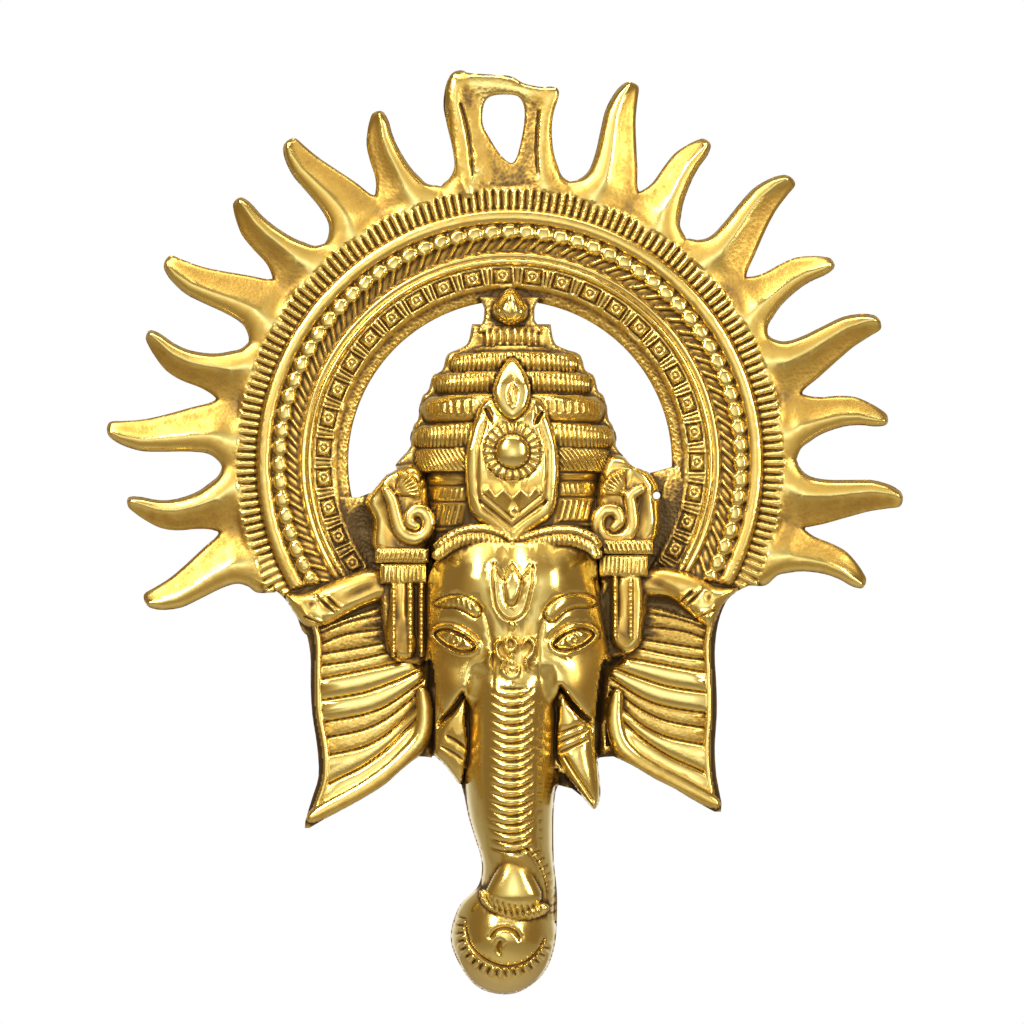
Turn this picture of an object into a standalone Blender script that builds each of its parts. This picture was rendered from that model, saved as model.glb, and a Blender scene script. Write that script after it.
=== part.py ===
"""Ganesha wall hanging: one metal casting, modelled as its forms fused together and cored out from behind.

Lengths are millimetres until a mesh is made. x runs to the right, depth runs forward from the wall and z runs
up from the ring's centre. The origin is the top of the hanging eye, on the wall plane, where the nail bears.
"""

import math

import bmesh
import bpy
from mathutils import Matrix

MM = 0.001

# The casting
WALL = 2.6
BEHIND = 3.0
GROUND_DEPTH = 3.0

# Hanging loop
EYE_WIDTH = 10.2
EYE_HEIGHT = 16.5
EYE_X = -1.5
LOOP_FOOT = 5.5
LOOP_DEPTH = 4.6
LOOP_BAR = 4.8

# Ring, from its hole outwards
HOLE_RADIUS = 39.2
LEDGE_WIDTH = 2.6
BEVEL_WIDTH = 1.4
PADS_WIDTH = 4.6
BEAD_WIDTH = 3.2
CHAIN_WIDTH = 7.3
BAND_WIDTH = 2.7
FRINGE_WIDTH = 6.0
RING_DEPTH = 6.6
RING_STEPS = 76
RING_FOOT = -30.0
PAD_COUNT = 27
PAD_RAISE = 0.7
CHANNEL_DEPTH = 3.4
CHANNEL_STEPS = 38

# Flame rays: the bearing, the reach beyond the ring and the sideways bend of each, as cast by hand
SHORT_BEARINGS = (-18.8, 6.6, 31.9, 58.6, 83.8, 110.9, 136.3, 160.6, 186.0)
SHORT_REACHES = (24.0, 25.2, 25.2, 24.5, 24.6, 24.0, 25.0, 26.4, 26.3)
SHORT_BENDS = (0.3, 0.7, 0.0, -0.7, 0.0, -0.6, -0.6, 1.5, 1.8)
LONG_BEARINGS = (-5.6, 20.6, 45.0, 71.9, 97.3, 124.4, 149.4, 175.0, 200.6)
LONG_REACHES = (28.6, 29.0, 30.0, 29.7, 28.8, 27.8, 29.8, 31.0, 27.7)
LONG_BENDS = (0.6, 0.2, -0.6, 0.3, -0.3, 0.8, -0.1, -0.3, -0.1)
FLAME_DEPTH = 5.2
FLAME_TIP_DEPTH = 3.6
FLAME_EDGE = 0.62

# The figure
FIGURE_X = 0.9
CROWN_WIDTH = 49.4
CROWN_DEPTH = 18.0
CROWN_FOOT = -25.0
CROWN_STEPS = 24
CREST_RAISE = 2.2
BOSS_RADIUS = 4.0
HEAD_DEPTH = 24.4
HEAD_EDGE = 9.0
TRUNK_DEPTH = 27.5
TRUNK_FOOT = -97.0
FOLD_COUNT = 17
FOLD_RAISE = 0.8
CURL_RADIUS = 12.8
CURL_DEPTH = 24.0
EAR_DEPTH = 7.4
EAR_RIBS = 9
RIB_RAISE = 1.1
LEFT_EAR_DROP = 88.5
RIGHT_EAR_DROP = 84.5

ledge_radius = HOLE_RADIUS + LEDGE_WIDTH
pads_radius = ledge_radius + BEVEL_WIDTH
bead_radius = pads_radius + PADS_WIDTH
chain_radius = bead_radius + BEAD_WIDTH
band_radius = chain_radius + CHAIN_WIDTH
fringe_radius = band_radius + BAND_WIDTH
ring_radius = fringe_radius + FRINGE_WIDTH
eye_top = ring_radius + LOOP_FOOT + EYE_HEIGHT
crown_top = HOLE_RADIUS + LEDGE_WIDTH


def clear_scene():
    for obj in list(bpy.data.objects):
        bpy.data.objects.remove(obj)


def new_collection(name):
    collection = bpy.data.collections.new(name)
    bpy.context.scene.collection.children.link(collection)
    return collection


def place(x, depth, z):
    return (x * MM, -depth * MM, (z - eye_top) * MM)


def polar(degrees, radius):
    """An (x, z) point at a bearing from +x and a radius from the ring's centre."""
    return radius * math.cos(math.radians(degrees)), radius * math.sin(math.radians(degrees))


def between(rows, key):
    """Reads rows of (key, number, ...) at a key, by straight lines."""
    rows = sorted(rows)
    key = min(max(key, rows[0][0]), rows[-1][0])
    for low, high in zip(rows, rows[1:]):
        if key <= high[0]:
            share = (key - low[0]) / (high[0] - low[0])
            return [a + (b - a) * share for a, b in zip(low[1:], high[1:])]


def spread(first, last, count):
    return [first + (last - first) * i / (count - 1) for i in range(count)]


def dome(u):
    """Height of a rounded cross-section, 1 on its middle line and 0 at its edges u = -1 and 1."""
    return math.sqrt(max(0.0, 1 - u * u))


def make_object(name, bm, collection):
    """Links the bmesh as an object, with the faces of every form in it turned outwards."""
    bmesh.ops.recalc_face_normals(bm, faces=bm.faces)
    mesh = bpy.data.meshes.new(name)
    bm.to_mesh(mesh)
    bm.free()
    obj = bpy.data.objects.new(name, mesh)
    collection.objects.link(obj)
    return obj


def append(bm, other):
    mesh = bpy.data.meshes.new("form")
    other.to_mesh(mesh)
    other.free()
    bm.from_mesh(mesh)
    bpy.data.meshes.remove(mesh)


def relief(bm, rows):
    """A block whose front is a grid of (x, depth, z) rows and whose flat back lies behind the wall plane."""
    grid = [[bm.verts.new(place(*point)) for point in row] for row in rows]
    for upper, lower in zip(grid, grid[1:]):
        for i in range(len(upper) - 1):
            bm.faces.new((upper[i], upper[i + 1], lower[i + 1], lower[i]))
    rim = grid[0] + [row[-1] for row in grid[1:-1]] + grid[-1][::-1] + [row[0] for row in grid[-2:0:-1]]
    back = [bm.verts.new((vert.co.x, BEHIND * MM, vert.co.z)) for vert in rim]
    for i, vert in enumerate(rim):
        following = (i + 1) % len(rim)
        bm.faces.new((vert, rim[following], back[following], back[i]))
    bm.faces.new(back)


def plate(bm, outline, depth, rear=-BEHIND):
    """A flat plate over an (x, z) outline, from behind the wall plane to the depth."""
    face = bm.faces.new([bm.verts.new(place(x, rear, z)) for x, z in outline])
    raised = bmesh.ops.extrude_face_region(bm, geom=[face], use_keep_orig=True)
    verts = [item for item in raised["geom"] if isinstance(item, bmesh.types.BMVert)]
    bmesh.ops.translate(bm, verts=verts, vec=(0, -(depth - rear) * MM, 0))


def ball(bm, centre, radii, segments=14, rings=8):
    """An ellipsoid, with its centre and radii as (x, depth, z)."""
    size = Matrix.Diagonal([radius * MM for radius in radii] + [1])
    bmesh.ops.create_uvsphere(
        bm, u_segments=segments, v_segments=rings, radius=1, matrix=Matrix.Translation(place(*centre)) @ size
    )


def rod(bm, points, radii, corners=1):
    """A round bar along (x, depth, z) points, with a radius at each."""
    curve = bpy.data.curves.new("bar", "CURVE")
    curve.dimensions = "3D"
    curve.bevel_depth = MM
    curve.bevel_resolution = corners
    curve.use_fill_caps = True
    spline = curve.splines.new("POLY")
    spline.points.add(len(points) - 1)
    for knot, point, radius in zip(spline.points, points, radii):
        knot.co = (*place(*point), 1)
        knot.radius = radius
    guide = bpy.data.objects.new("bar", curve)
    bpy.context.scene.collection.objects.link(guide)
    mesh = bpy.data.meshes.new_from_object(guide.evaluated_get(bpy.context.evaluated_depsgraph_get()))
    bpy.data.objects.remove(guide)
    other = bmesh.new()
    other.from_mesh(mesh)
    bpy.data.meshes.remove(mesh)
    bmesh.ops.remove_doubles(other, verts=other.verts, dist=0.01 * MM)
    append(bm, other)


def turned(bm, profile, squash):
    """Turns a (radius, z) profile about the figure's upright line, flattened in depth."""
    other = bmesh.new()
    verts = [other.verts.new((radius * MM, 0, z * MM)) for radius, z in profile]
    edges = [other.edges.new(pair) for pair in zip(verts, verts[1:])]
    bmesh.ops.spin(
        other, geom=verts + edges, cent=(0, 0, 0), axis=(0, 0, 1), angle=math.tau, steps=CROWN_STEPS, use_merge=True
    )
    bmesh.ops.remove_doubles(other, verts=other.verts, dist=0.01 * MM)
    bmesh.ops.scale(other, verts=other.verts, vec=(1, squash, 1))
    bmesh.ops.translate(other, verts=other.verts, vec=place(FIGURE_X, 0, 0))
    append(bm, other)


def screw_ring(name, profile, steps, collection):
    """Turns a closed (radius, depth) profile about the ring's axis."""
    mesh = bpy.data.meshes.new(name)
    points = [(radius * MM, -depth * MM, 0) for radius, depth in profile]
    mesh.from_pydata(points, [(i, (i + 1) % len(points)) for i in range(len(points))], [])
    obj = bpy.data.objects.new(name, mesh)
    obj.location = place(0, 0, 0)
    collection.objects.link(obj)
    turn = obj.modifiers.new("turn", "SCREW")
    turn.axis = "Y"
    turn.steps = turn.render_steps = steps
    turn.use_merge_vertices = True
    turn.merge_threshold = 0.00001
    turn.use_normal_calculate = True
    return obj


def combine(target, operation, operand):
    """Fuses or cuts with an operand whose own forms may overlap one another."""
    step = target.modifiers.new(operand.name, "BOOLEAN")
    step.operation = operation
    step.solver = "EXACT"
    step.use_self = True
    step.object = operand


def ring(collection):
    """The turned ring, its mouldings in front."""
    profile = [
        (HOLE_RADIUS, -BEHIND),
        (HOLE_RADIUS, 2.0),
        (ledge_radius, 2.4),
        (pads_radius, RING_DEPTH - 2.4),
        (bead_radius, RING_DEPTH - 2.5),
        (bead_radius + 0.4 * BEAD_WIDTH, RING_DEPTH - 1.0),
        (chain_radius, RING_DEPTH - 2.1),
        (chain_radius + 0.45 * CHAIN_WIDTH, RING_DEPTH),
        (band_radius, RING_DEPTH - 0.8),
        (band_radius + 0.5 * BAND_WIDTH, RING_DEPTH - 0.2),
        (fringe_radius, RING_DEPTH - 2.4),
        (ring_radius, RING_DEPTH - 2.8),
        (ring_radius, -BEHIND),
    ]
    return screw_ring("ganesha_casting", profile, RING_STEPS, collection)


def ring_channel(collection):
    """The shallow channel that lightens the ring from behind."""
    profile = [
        (pads_radius + 2, -BEHIND),
        (pads_radius + 3, CHANNEL_DEPTH - 1),
        (band_radius - 1.8, CHANNEL_DEPTH),
        (band_radius - 0.8, -BEHIND),
    ]
    return screw_ring("ring_channel", profile, CHANNEL_STEPS, collection)


def lower_cut(collection, name, height):
    """Takes away what would run on below the height, under the ears and the face."""
    bm = bmesh.new()
    reach = 2 * ring_radius
    outline = [(-reach, height), (reach, height), (reach, -reach), (-reach, -reach)]
    plate(bm, outline, 4 * RING_DEPTH, -4 * RING_DEPTH)
    return make_object(name, bm, collection)


def pads(bm):
    """Raised square pads around the inner band."""
    for bearing in spread(-27.8, 212.5, PAD_COUNT):
        turn = math.degrees(0.38 * PADS_WIDTH / bead_radius) * 1.05
        inner, outer = pads_radius + 0.6, bead_radius - 0.8
        corners = ((-turn, inner), (turn, inner), (turn, outer), (-turn, outer))
        plate(bm, [polar(bearing + a, r) for a, r in corners], RING_DEPTH - 2.1 + PAD_RAISE, 1.0)


LONG_SIDES = (
    (-0.07, 12.5, 9.5),
    (0.05, 12.5, 8.0),
    (0.11, 11.0, 5.7),
    (0.20, 8.5, 4.1),
    (0.35, 6.9, 3.9),
    (0.56, 4.5, 4.5),
    (0.72, 2.9, 4.8),
    (0.87, 2.0, 3.8),
    (0.97, 1.7, 2.4),
    (1.00, 0.5, 1.0),
)
SHORT_SIDES = (
    (-0.07, 12.5, 9.5),
    (0.05, 12.0, 8.3),
    (0.13, 10.0, 5.2),
    (0.22, 7.8, 3.9),
    (0.36, 6.5, 2.4),
    (0.56, 6.2, 1.4),
    (0.72, 5.5, 1.3),
    (0.86, 3.7, 1.8),
    (0.96, 1.9, 1.7),
    (1.00, 0.5, 0.6),
)


def flame(bm, bearing, reach, bend, sides, lean):
    """One ray: a long sloping side and a steep side, meeting in a crest nearer the steep side."""
    rows = []
    for share, slope_side, steep_side in sides:
        radius = ring_radius + share * reach
        shift = bend * math.sin(math.pi * max(share, 0))
        depth = FLAME_DEPTH + (FLAME_TIP_DEPTH - FLAME_DEPTH) * share if share > 0 else RING_DEPTH - 3.6
        crest = steep_side - 0.36 * (slope_side + steep_side) if share < 1 else 0
        row = []
        for side, height in ((-slope_side, 0.55 * depth), (crest, depth), (steep_side, FLAME_EDGE * depth)):
            x, z = polar(bearing, radius)
            across = polar(bearing + 90, lean * (side - shift))
            row.append((x + across[0], height, z + across[1]))
        rows.append(row)
    relief(bm, rows)


def rays(collection):
    bm = bmesh.new()
    for bearing, reach, bend in zip(SHORT_BEARINGS, SHORT_REACHES, SHORT_BENDS):
        flame(bm, bearing, reach, bend, SHORT_SIDES, -1)
    for bearing, reach, bend in zip(LONG_BEARINGS, LONG_REACHES, LONG_BENDS):
        flame(bm, bearing, reach, bend, LONG_SIDES, 1)
    pads(bm)
    return make_object("flame_rays", bm, collection)


def loop(collection):
    """The web and top bar that join two rays into the hanging loop."""
    bm = bmesh.new()
    top_left = eye_top + 3.2
    top_right = eye_top + 0.2
    foot = ring_radius - 3
    web = [(-12.5, foot), (-9.5, eye_top - 12), (-12.3, top_left)]
    web += [(9.8, top_right), (8.6, eye_top - 10), (12, foot)]
    plate(bm, web, GROUND_DEPTH)
    middle = EYE_X + 0.5 * EYE_WIDTH
    bar = 0.5 * LOOP_BAR
    points = ((-12.7, 3.3), (middle - 13, 3.0), (middle - 4, 2.5), (middle + 0.8, 0.4), (9.9, -0.4))
    radii = [0.84 * bar, 0.96 * bar, bar, 0.96 * bar, 0.8 * bar]
    rod(bm, [(x, bar, eye_top + z) for x, z in points], radii)
    return make_object("loop_web", bm, collection)


def hanging_eye(collection):
    """A rounded top and straight sides that close to a point."""
    bm = bmesh.new()
    half = 0.5 * EYE_WIDTH
    outline = [
        (EYE_X + 0.45 * half, 0.0),
        (EYE_X + 0.85 * half, 0.06),
        (EYE_X + half, 0.2),
        (EYE_X + 0.95 * half, 0.48),
        (EYE_X + 0.36 * half, 1.0),
        (EYE_X - half, 0.46),
        (EYE_X - half, 0.18),
        (EYE_X - 0.7 * half, 0.04),
        (EYE_X - 0.3 * half, 0.0),
    ]
    plate(bm, [(x, eye_top - share * EYE_HEIGHT) for x, share in outline], 3 * LOOP_DEPTH, -2 * BEHIND)
    return make_object("hanging_eye", bm, collection)


def crown_radius():
    """The crown's outline as (radius, z) from the bud's tip down, its rolls from a short list."""
    half = 0.5 * CROWN_WIDTH
    height = crown_top - CROWN_FOOT
    profile = [(0.0, crown_top - 7), (4.6, crown_top - 8), (8.2, crown_top - 9.6), (10.8, crown_top - 14)]
    rolls = ((0.67, 0.243, 0.3), (0.80, 0.303, 0.363), (0.905, 0.393, 0.475), (1.0, 0.495, 0.565),
             (0.99, 0.585, 0.65))
    for width, top, bottom in rolls:
        radius = width * half
        upper, lower = crown_top - top * height, crown_top - bottom * height
        profile += [(radius - 1.3, upper), (radius, upper - 0.45 * (upper - lower)), (radius - 1.5, lower)]
    profile += [(0.87 * half, CROWN_FOOT + 18), (0.87 * half, CROWN_FOOT + 2), (0, CROWN_FOOT)]
    return profile


def crest(bm):
    """The shield and its drop leaf up the front of the crown, with the boss on it."""
    rows = []
    leaf = ((25.2, 0.3, 13.2), (22, 2.4, 15), (19, 4.1, 16.4), (16.4, 4.3, 17.3))
    shield = ((15, 7.2, 17.8), (11, 8.9, 19.2), (3, 11.0, 20.2), (-5, 11.1, 20.0), (-12.5, 9.6, 19.6),
              (-16, 5.2, 19.6), (-19.4, 0.4, 19.6))
    for z, half, depth in leaf + shield:
        front = depth + CREST_RAISE - 2.2
        middle = FIGURE_X - 0.4
        rows.append([(middle + half * u, front - 2.6 + 2.6 * dome(u), z) for u in (-1, -0.75, 0, 0.75, 1)])
    relief(bm, rows)
    ball(bm, (0.6, 19.4, 2.7), (BOSS_RADIUS + 3, 2.0, BOSS_RADIUS + 3), 16, 6)
    ball(bm, (0.6, 20.2, 2.7), (BOSS_RADIUS, 3.0, BOSS_RADIUS), 16, 8)


def crown(collection):
    bm = bmesh.new()
    turned(bm, crown_radius(), CROWN_DEPTH / (0.5 * CROWN_WIDTH))
    crest(bm)
    plate(bm, [(-6.4, crown_top - 1), (5.8, crown_top - 1), (5.8, 32), (-6.4, 32)], GROUND_DEPTH)
    ball(bm, (-0.1, 3.0, crown_top - 5.6), (4.2, 5.0, 4.6), 12, 8)
    for side in (-1, 1):
        points = ((18, 10.2, -19.3), (14, 13.6, -17.5), (9.5, 16.2, -16.9), (4, 18.2, -18.3),
                  (0.3, 19.4, -20.4))
        rod(bm, [(FIGURE_X - 0.4 + side * x, depth, z) for x, depth, z in points], [2.0] * len(points))
    return make_object("crown_forms", bm, collection)


def spiral(bm, centre, radius, side, depth):
    """A scroll: a bar wound one and a quarter times in to its eye, then out along the stem."""
    points = []
    for share in spread(0, 1, 12):
        angle = math.radians(-60 + 450 * share)
        reach = radius * (1 - 0.72 * share)
        points.append((centre[0] - side * reach * math.cos(angle), depth, centre[1] + reach * math.sin(angle)))
    rod(bm, points, spread(1.5, 1.0, 12), 0)


def side_ornaments(collection):
    """Volutes, capitals and pendants beside the crown and the brow, on the stippled ground."""
    bm = bmesh.new()
    ground = [polar(bearing, ledge_radius) for bearing in spread(192, 215, 4)]
    ground += [(-37, -34), (-37, -61), (37, -61), (37, -34)]
    ground += [polar(bearing, ledge_radius) for bearing in spread(-35, -3, 4)]
    plate(bm, ground + [(20, -1), (-20, -8.5)], GROUND_DEPTH)
    for side in (-1, 1):
        lift = 0.5 * side + 0.5

        def outline(points):
            return [(FIGURE_X + side * x, z + 2.5 * lift) for x, z in points]

        plate(bm, outline([(19, 1.5), (23, 1), (29, -1), (33, -5), (34.5, -9), (34, -20), (19, -20)]), 8.0)
        plate(bm, outline([(21, -4), (24, -1.5), (29, -2.5), (28, -8.5), (22, -9.5)]), 9.6)
        spiral(bm, outline([(23.4, -14.3)])[0], 4.2, side, 9.0)
        stem = outline([(30.2, -5), (28.8, -10), (29.6, -14), (27.5, -19.5)])
        rod(bm, [(x, 8.6, z) for x, z in stem], [1.3, 1.6, 1.6, 1.2])
        plate(bm, outline([(19.5, -19.5), (32.5, -19.5), (32.5, -24.6), (19.5, -24.6)]), 11.5)
        plate(bm, outline([(20, -24), (32, -24), (31.4, -30.3), (20, -30.3)]), 10.4)
        pendant = [(20.5, -29), (31.3, -29), (31.2, -44), (29.5, -48.5), (26, -50), (20.5, -48)]
        plate(bm, outline(pendant), 8.4)
        for x in (23.8, 29.2):
            column = [(FIGURE_X + side * x, 8.6, z + 2.5 * lift) for z in (-29, -47)]
            rod(bm, column, [1.7, 1.7])
    return make_object("side_ornaments", bm, collection)


HEAD_ROWS = (
    (-20.8, -10.0, 12.5, 0.80),
    (-24.0, -17.0, 19.6, 0.93),
    (-29.0, -20.0, 21.5, 1.0),
    (-36.0, -20.3, 22.4, 1.0),
    (-43.0, -20.4, 23.6, 0.98),
    (-50.0, -21.0, 24.9, 0.97),
    (-57.0, -20.3, 24.0, 0.98),
    (-63.0, -17.6, 21.0, 1.0),
    (-69.0, -12.5, 13.5, 0.95),
)


def face(bm, inset=0.0):
    """The domed face, and with an inset the same form as its hollow."""
    rows = []
    for z, left, right, share in HEAD_ROWS:
        left += inset
        right -= inset
        middle = 0.5 * (left + right)
        half = 0.5 * (right - left)
        edge = (HEAD_EDGE - inset) * share
        front = HEAD_DEPTH * share - 1.15 * inset
        level = z - (inset if z > -30 else 0)
        row = []
        for u in (-1, -0.9, -0.62, -0.25, 0.25, 0.62, 0.9, 1):
            row.append((middle + half * u, edge + (front - edge) * dome(u), level))
        rows.append(row)
    relief(bm, rows)


TRUNK_ROWS = (
    (-50.0, -10.0, 12.0, 0.84),
    (-57.0, -11.5, 12.5, 0.93),
    (-66.0, -10.7, 11.5, 0.97),
    (-76.0, -11.2, 11.4, 1.0),
    (-86.0, -10.0, 10.6, 0.98),
    (-93.0, -8.2, 10.5, 0.94),
    (-99.0, -6.9, 11.2, 0.86),
    (-110.0, -7.8, 10.6, 0.66),
)


def trunk(bm, inset=0.0):
    """The trunk down to its curl: folds across its front, or with an inset its hollow."""
    first, last = -56.0, TRUNK_FOOT + 5.0
    heights = [-50.0] + spread(first, last, 2 * FOLD_COUNT + 1) + [TRUNK_FOOT - 3.0, TRUNK_FOOT - 12.0]
    if inset:
        heights = [-56.0, -66.0, -76.0, -86.0, TRUNK_FOOT + 3.0, TRUNK_FOOT - 7.0]
    rows = []
    for i, z in enumerate(heights):
        left, right, share = between(TRUNK_ROWS, z)
        left += inset
        right -= inset
        middle = 0.5 * (left + right)
        half = 0.5 * (right - left)
        edge = 8.0 - inset
        front = TRUNK_DEPTH * share - 1.2 * inset if z > TRUNK_FOOT - 4 else 9.0
        raised = 0 if inset or i % 2 else -FOLD_RAISE
        rows.append([
            (middle + half * u, edge + (front - edge) * dome(u) + (raised if abs(u) < 0.5 else 0), z)
            for u in (-1, -0.86, -0.48, 0, 0.48, 0.86, 1)
        ])
    relief(bm, rows)


def curl(bm):
    """The end of the trunk, curled round a sweet and its ball."""
    middle = (-1.4, 0.0, TRUNK_FOOT - 16.2)
    ball(bm, middle, (CURL_RADIUS - 0.3, CURL_DEPTH - 4, CURL_RADIUS + 1.2), 16, 10)
    hook = CURL_DEPTH - 8
    points = [(6.4, hook, TRUNK_FOOT + 6), (7.4, hook, TRUNK_FOOT - 3), (7.6, hook, TRUNK_FOOT - 11)]
    for bearing in (-20, -56, -92, -128, -164, -200):
        x, z = polar(bearing, 1)
        points.append((middle[0] + 8.8 * x, hook, middle[2] + 10.1 * z))
    rod(bm, points, [3.6, 3.9, 3.9, 3.8, 3.9, 4.0, 4.0, 3.8, 3.2])
    ball(bm, (-2.0, CURL_DEPTH - 7, TRUNK_FOOT - 16.5), (7.4, 6.5, 6.4), 12, 8)
    ball(bm, (1.6, CURL_DEPTH - 5, TRUNK_FOOT - 7), (6.8, 6.0, 9.5), 12, 8)


def tusk(bm, stations):
    rows = []
    for z, left, right, depth in stations:
        middle = 0.5 * (left + right)
        half = 0.5 * (right - left)
        rows.append([(middle + half * u, depth * (0.62 + 0.38 * dome(u)), z) for u in (-1, -0.6, 0, 0.6, 1)])
    relief(bm, rows)


def features(bm):
    """Tusks, eyes and brows."""
    tusk(bm, [(-54, -13.0, -10.5, 17), (-62, -17.3, -10.0, 18), (-69, -19.2, -9.6, 16),
              (-73, -16.5, -9.8, 14.5), (-77.6, -12.8, -11.2, 12)])
    tusk(bm, [(-56, 12.0, 15.5, 19), (-63, 11.4, 19.6, 19), (-70, 11.4, 20.8, 18), (-77, 15.0, 21.8, 17),
              (-83.6, 19.4, 21.6, 15)])
    for x, tilt in ((-13.4, 1.0), (15.2, -0.4)):
        ball(bm, (x, 17.4, -43.4), (5.2, 3.4, 2.9), 12, 6)
        side = -1 if x < 0 else 1
        points = [(x - side * 6, 22.6, -36.5), (x - side * 1, 21.4, -33.2), (x + side * 4, 17.8, -33.6)]
        rod(bm, points, [1.3, 1.7, 1.2])


def head(collection):
    bm = bmesh.new()
    face(bm)
    trunk(bm)
    curl(bm)
    features(bm)
    web = GROUND_DEPTH
    plate(bm, [(-24, -58), (-12, -58), (-11, -77.5), (-19, -70)], web)
    plate(bm, [(11, -58), (27, -58), (26, -71), (20, -70.5), (20.5, -83.5), (15, -79), (11.3, -77.8)], web)
    return make_object("head_forms", bm, collection)


def ear(bm, side, drop):
    """One ear: fanned ribs between its inner line and its rolled outer rim, under a turned-over top bar."""
    heights = [0.0, 0.05]
    for rib in range(EAR_RIBS):
        share = 0.1 + 0.72 * rib / (EAR_RIBS - 1)
        heights += [share, share + 0.36 / (EAR_RIBS - 1)]
    heights += [0.9, 0.96, 1.0]
    inner = 17.5
    outer_line = [(0, 50.6), (0.15, 48.7), (0.45, 48.7), (0.65, 47.6), (0.8, 47.4), (0.92, 48.9), (1, 50.2)]
    top_line = [(17.5, -50), (22, -50), (27, -47), (30, -32)]
    top_line += [(36, -33), (41, -35.5), (46, -38), (51.5, -40)]
    fall_line = [(17.5, 0), (20, 0), (23, 0.08), (27, 0.25), (31, 0.43)]
    fall_line += [(36, 0.61), (41, 0.75), (46, 0.89), (50.2, 1)]
    rows = []
    for i, t in enumerate(heights):
        row = []
        for s in (0, 0.14, 0.3, 0.5, 0.72, 0.9, 0.96, 1):
            x = inner + s * (between(outer_line, t)[0] - inner)
            top = between(top_line, x)[0]
            bottom = -69.6 - (drop - 69.6) * between(fall_line, x)[0]
            depth = EAR_DEPTH - 1.6
            if s >= 0.9 or t >= 0.9:
                depth = EAR_DEPTH + 0.4
            elif 0.1 <= t and s >= 0.3:
                depth += RIB_RAISE if i % 2 == 0 else -0.3
            if s == 1 or i in (0, len(heights) - 1):
                depth = EAR_DEPTH - 2.0
            row.append((FIGURE_X + side * x, depth, top + t * (bottom - top)))
        rows.append(row)
    relief(bm, rows)
    rows = []
    bar_ends = ((29, -28.5, -33), (34.5, -25.8, -35), (40, -26.4, -37.6))
    bar_ends += ((47, -29.0, -41), (51, -30, -41), (55.2, -29, -35))
    for x, upper, lower in bar_ends:
        row = []
        for u in (-1, -0.7, 0, 0.7, 1):
            z = 0.5 * (upper + lower) - 0.5 * u * (upper - lower)
            row.append((FIGURE_X + side * x, EAR_DEPTH - 2 + 3.4 * dome(u), z))
        rows.append(row)
    relief(bm, rows)


def ears(collection):
    bm = bmesh.new()
    ear(bm, -1, LEFT_EAR_DROP)
    ear(bm, 1, RIGHT_EAR_DROP)
    return make_object("ears", bm, collection)


def core(collection):
    """The hollow behind the crown, the face and the trunk, one wall inside their fronts."""
    bm = bmesh.new()
    half = 0.5 * CROWN_WIDTH
    side = WALL + 1.0
    height = crown_top - CROWN_FOOT
    profile = [(0, crown_top - 14.5), (0.45 * half - side, crown_top - 16)]
    for width, share in ((0.64, 0.31), (0.8, 0.4), (0.94, 0.55), (0.87, 0.66)):
        profile.append((width * half - side, crown_top - share * height))
    profile += [(0.87 * half - side, CROWN_FOOT - 6), (0, CROWN_FOOT - 6)]
    turned(bm, profile, CROWN_DEPTH / half)
    face(bm, WALL)
    trunk(bm, WALL)
    radii = (CURL_RADIUS - WALL - 1, CURL_DEPTH - WALL - 5, CURL_RADIUS - WALL)
    ball(bm, (-1.4, 0, TRUNK_FOOT - 15.5), radii, 14, 8)
    return make_object("core", bm, collection)


def back_cut(collection):
    """Everything behind the wall plane, so that the casting lies flat on the wall."""
    bm = bmesh.new()
    reach = 3 * ring_radius
    behind = -2 * max(TRUNK_DEPTH, CURL_DEPTH, HEAD_DEPTH, CROWN_DEPTH)
    plate(bm, [(-reach, -reach), (reach, -reach), (reach, reach), (-reach, reach)], 0.0, behind)
    return make_object("back_cut", bm, collection)


def gold():
    material = bpy.data.materials.new("antique_gold")
    material.use_nodes = True
    shader = material.node_tree.nodes["Principled BSDF"]
    shader.inputs["Base Color"].default_value = (0.62, 0.40, 0.09, 1)
    shader.inputs["Metallic"].default_value = 1.0
    shader.inputs["Roughness"].default_value = 0.34
    return material


def main():
    clear_scene()
    parts = new_collection("ganesha_wall_hanging")
    forms = new_collection("forms_and_cutters")
    casting = ring(parts)
    combine(casting, "DIFFERENCE", lower_cut(forms, "ring_cut", RING_FOOT))
    for form in (rays, loop, crown, side_ornaments, head, ears):
        combine(casting, "UNION", form(forms))
    channel = ring_channel(forms)
    combine(channel, "DIFFERENCE", lower_cut(forms, "channel_cut", RING_FOOT + 10))
    combine(casting, "DIFFERENCE", back_cut(forms))
    combine(casting, "DIFFERENCE", channel)
    combine(casting, "DIFFERENCE", core(forms))
    combine(casting, "DIFFERENCE", hanging_eye(forms))
    flats = casting.modifiers.new("join_flat_faces", "DECIMATE")
    flats.decimate_type = "DISSOLVE"
    flats.angle_limit = math.radians(0.3)
    for obj in forms.objects:
        obj.hide_render = True
        obj.display_type = "WIRE"
    casting.data.materials.append(gold())


main()
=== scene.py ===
# %% [markdown]
# # A cast wall hanging in antique gold
# The object is one metal casting: an elephant-headed mask under a tiered crown, inside a moulded ring with
# eighteen flame rays. Castings like this are relief work, modelled once in clay or wax, pressed in sand and
# poured. So the model is built the same way: as a relief, a height for every point of a flat sheet. Form after
# form is laid on that sheet, then the sheet is turned into a closed metal skin with a hollow back.

# %% The frame and its size
import math

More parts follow.
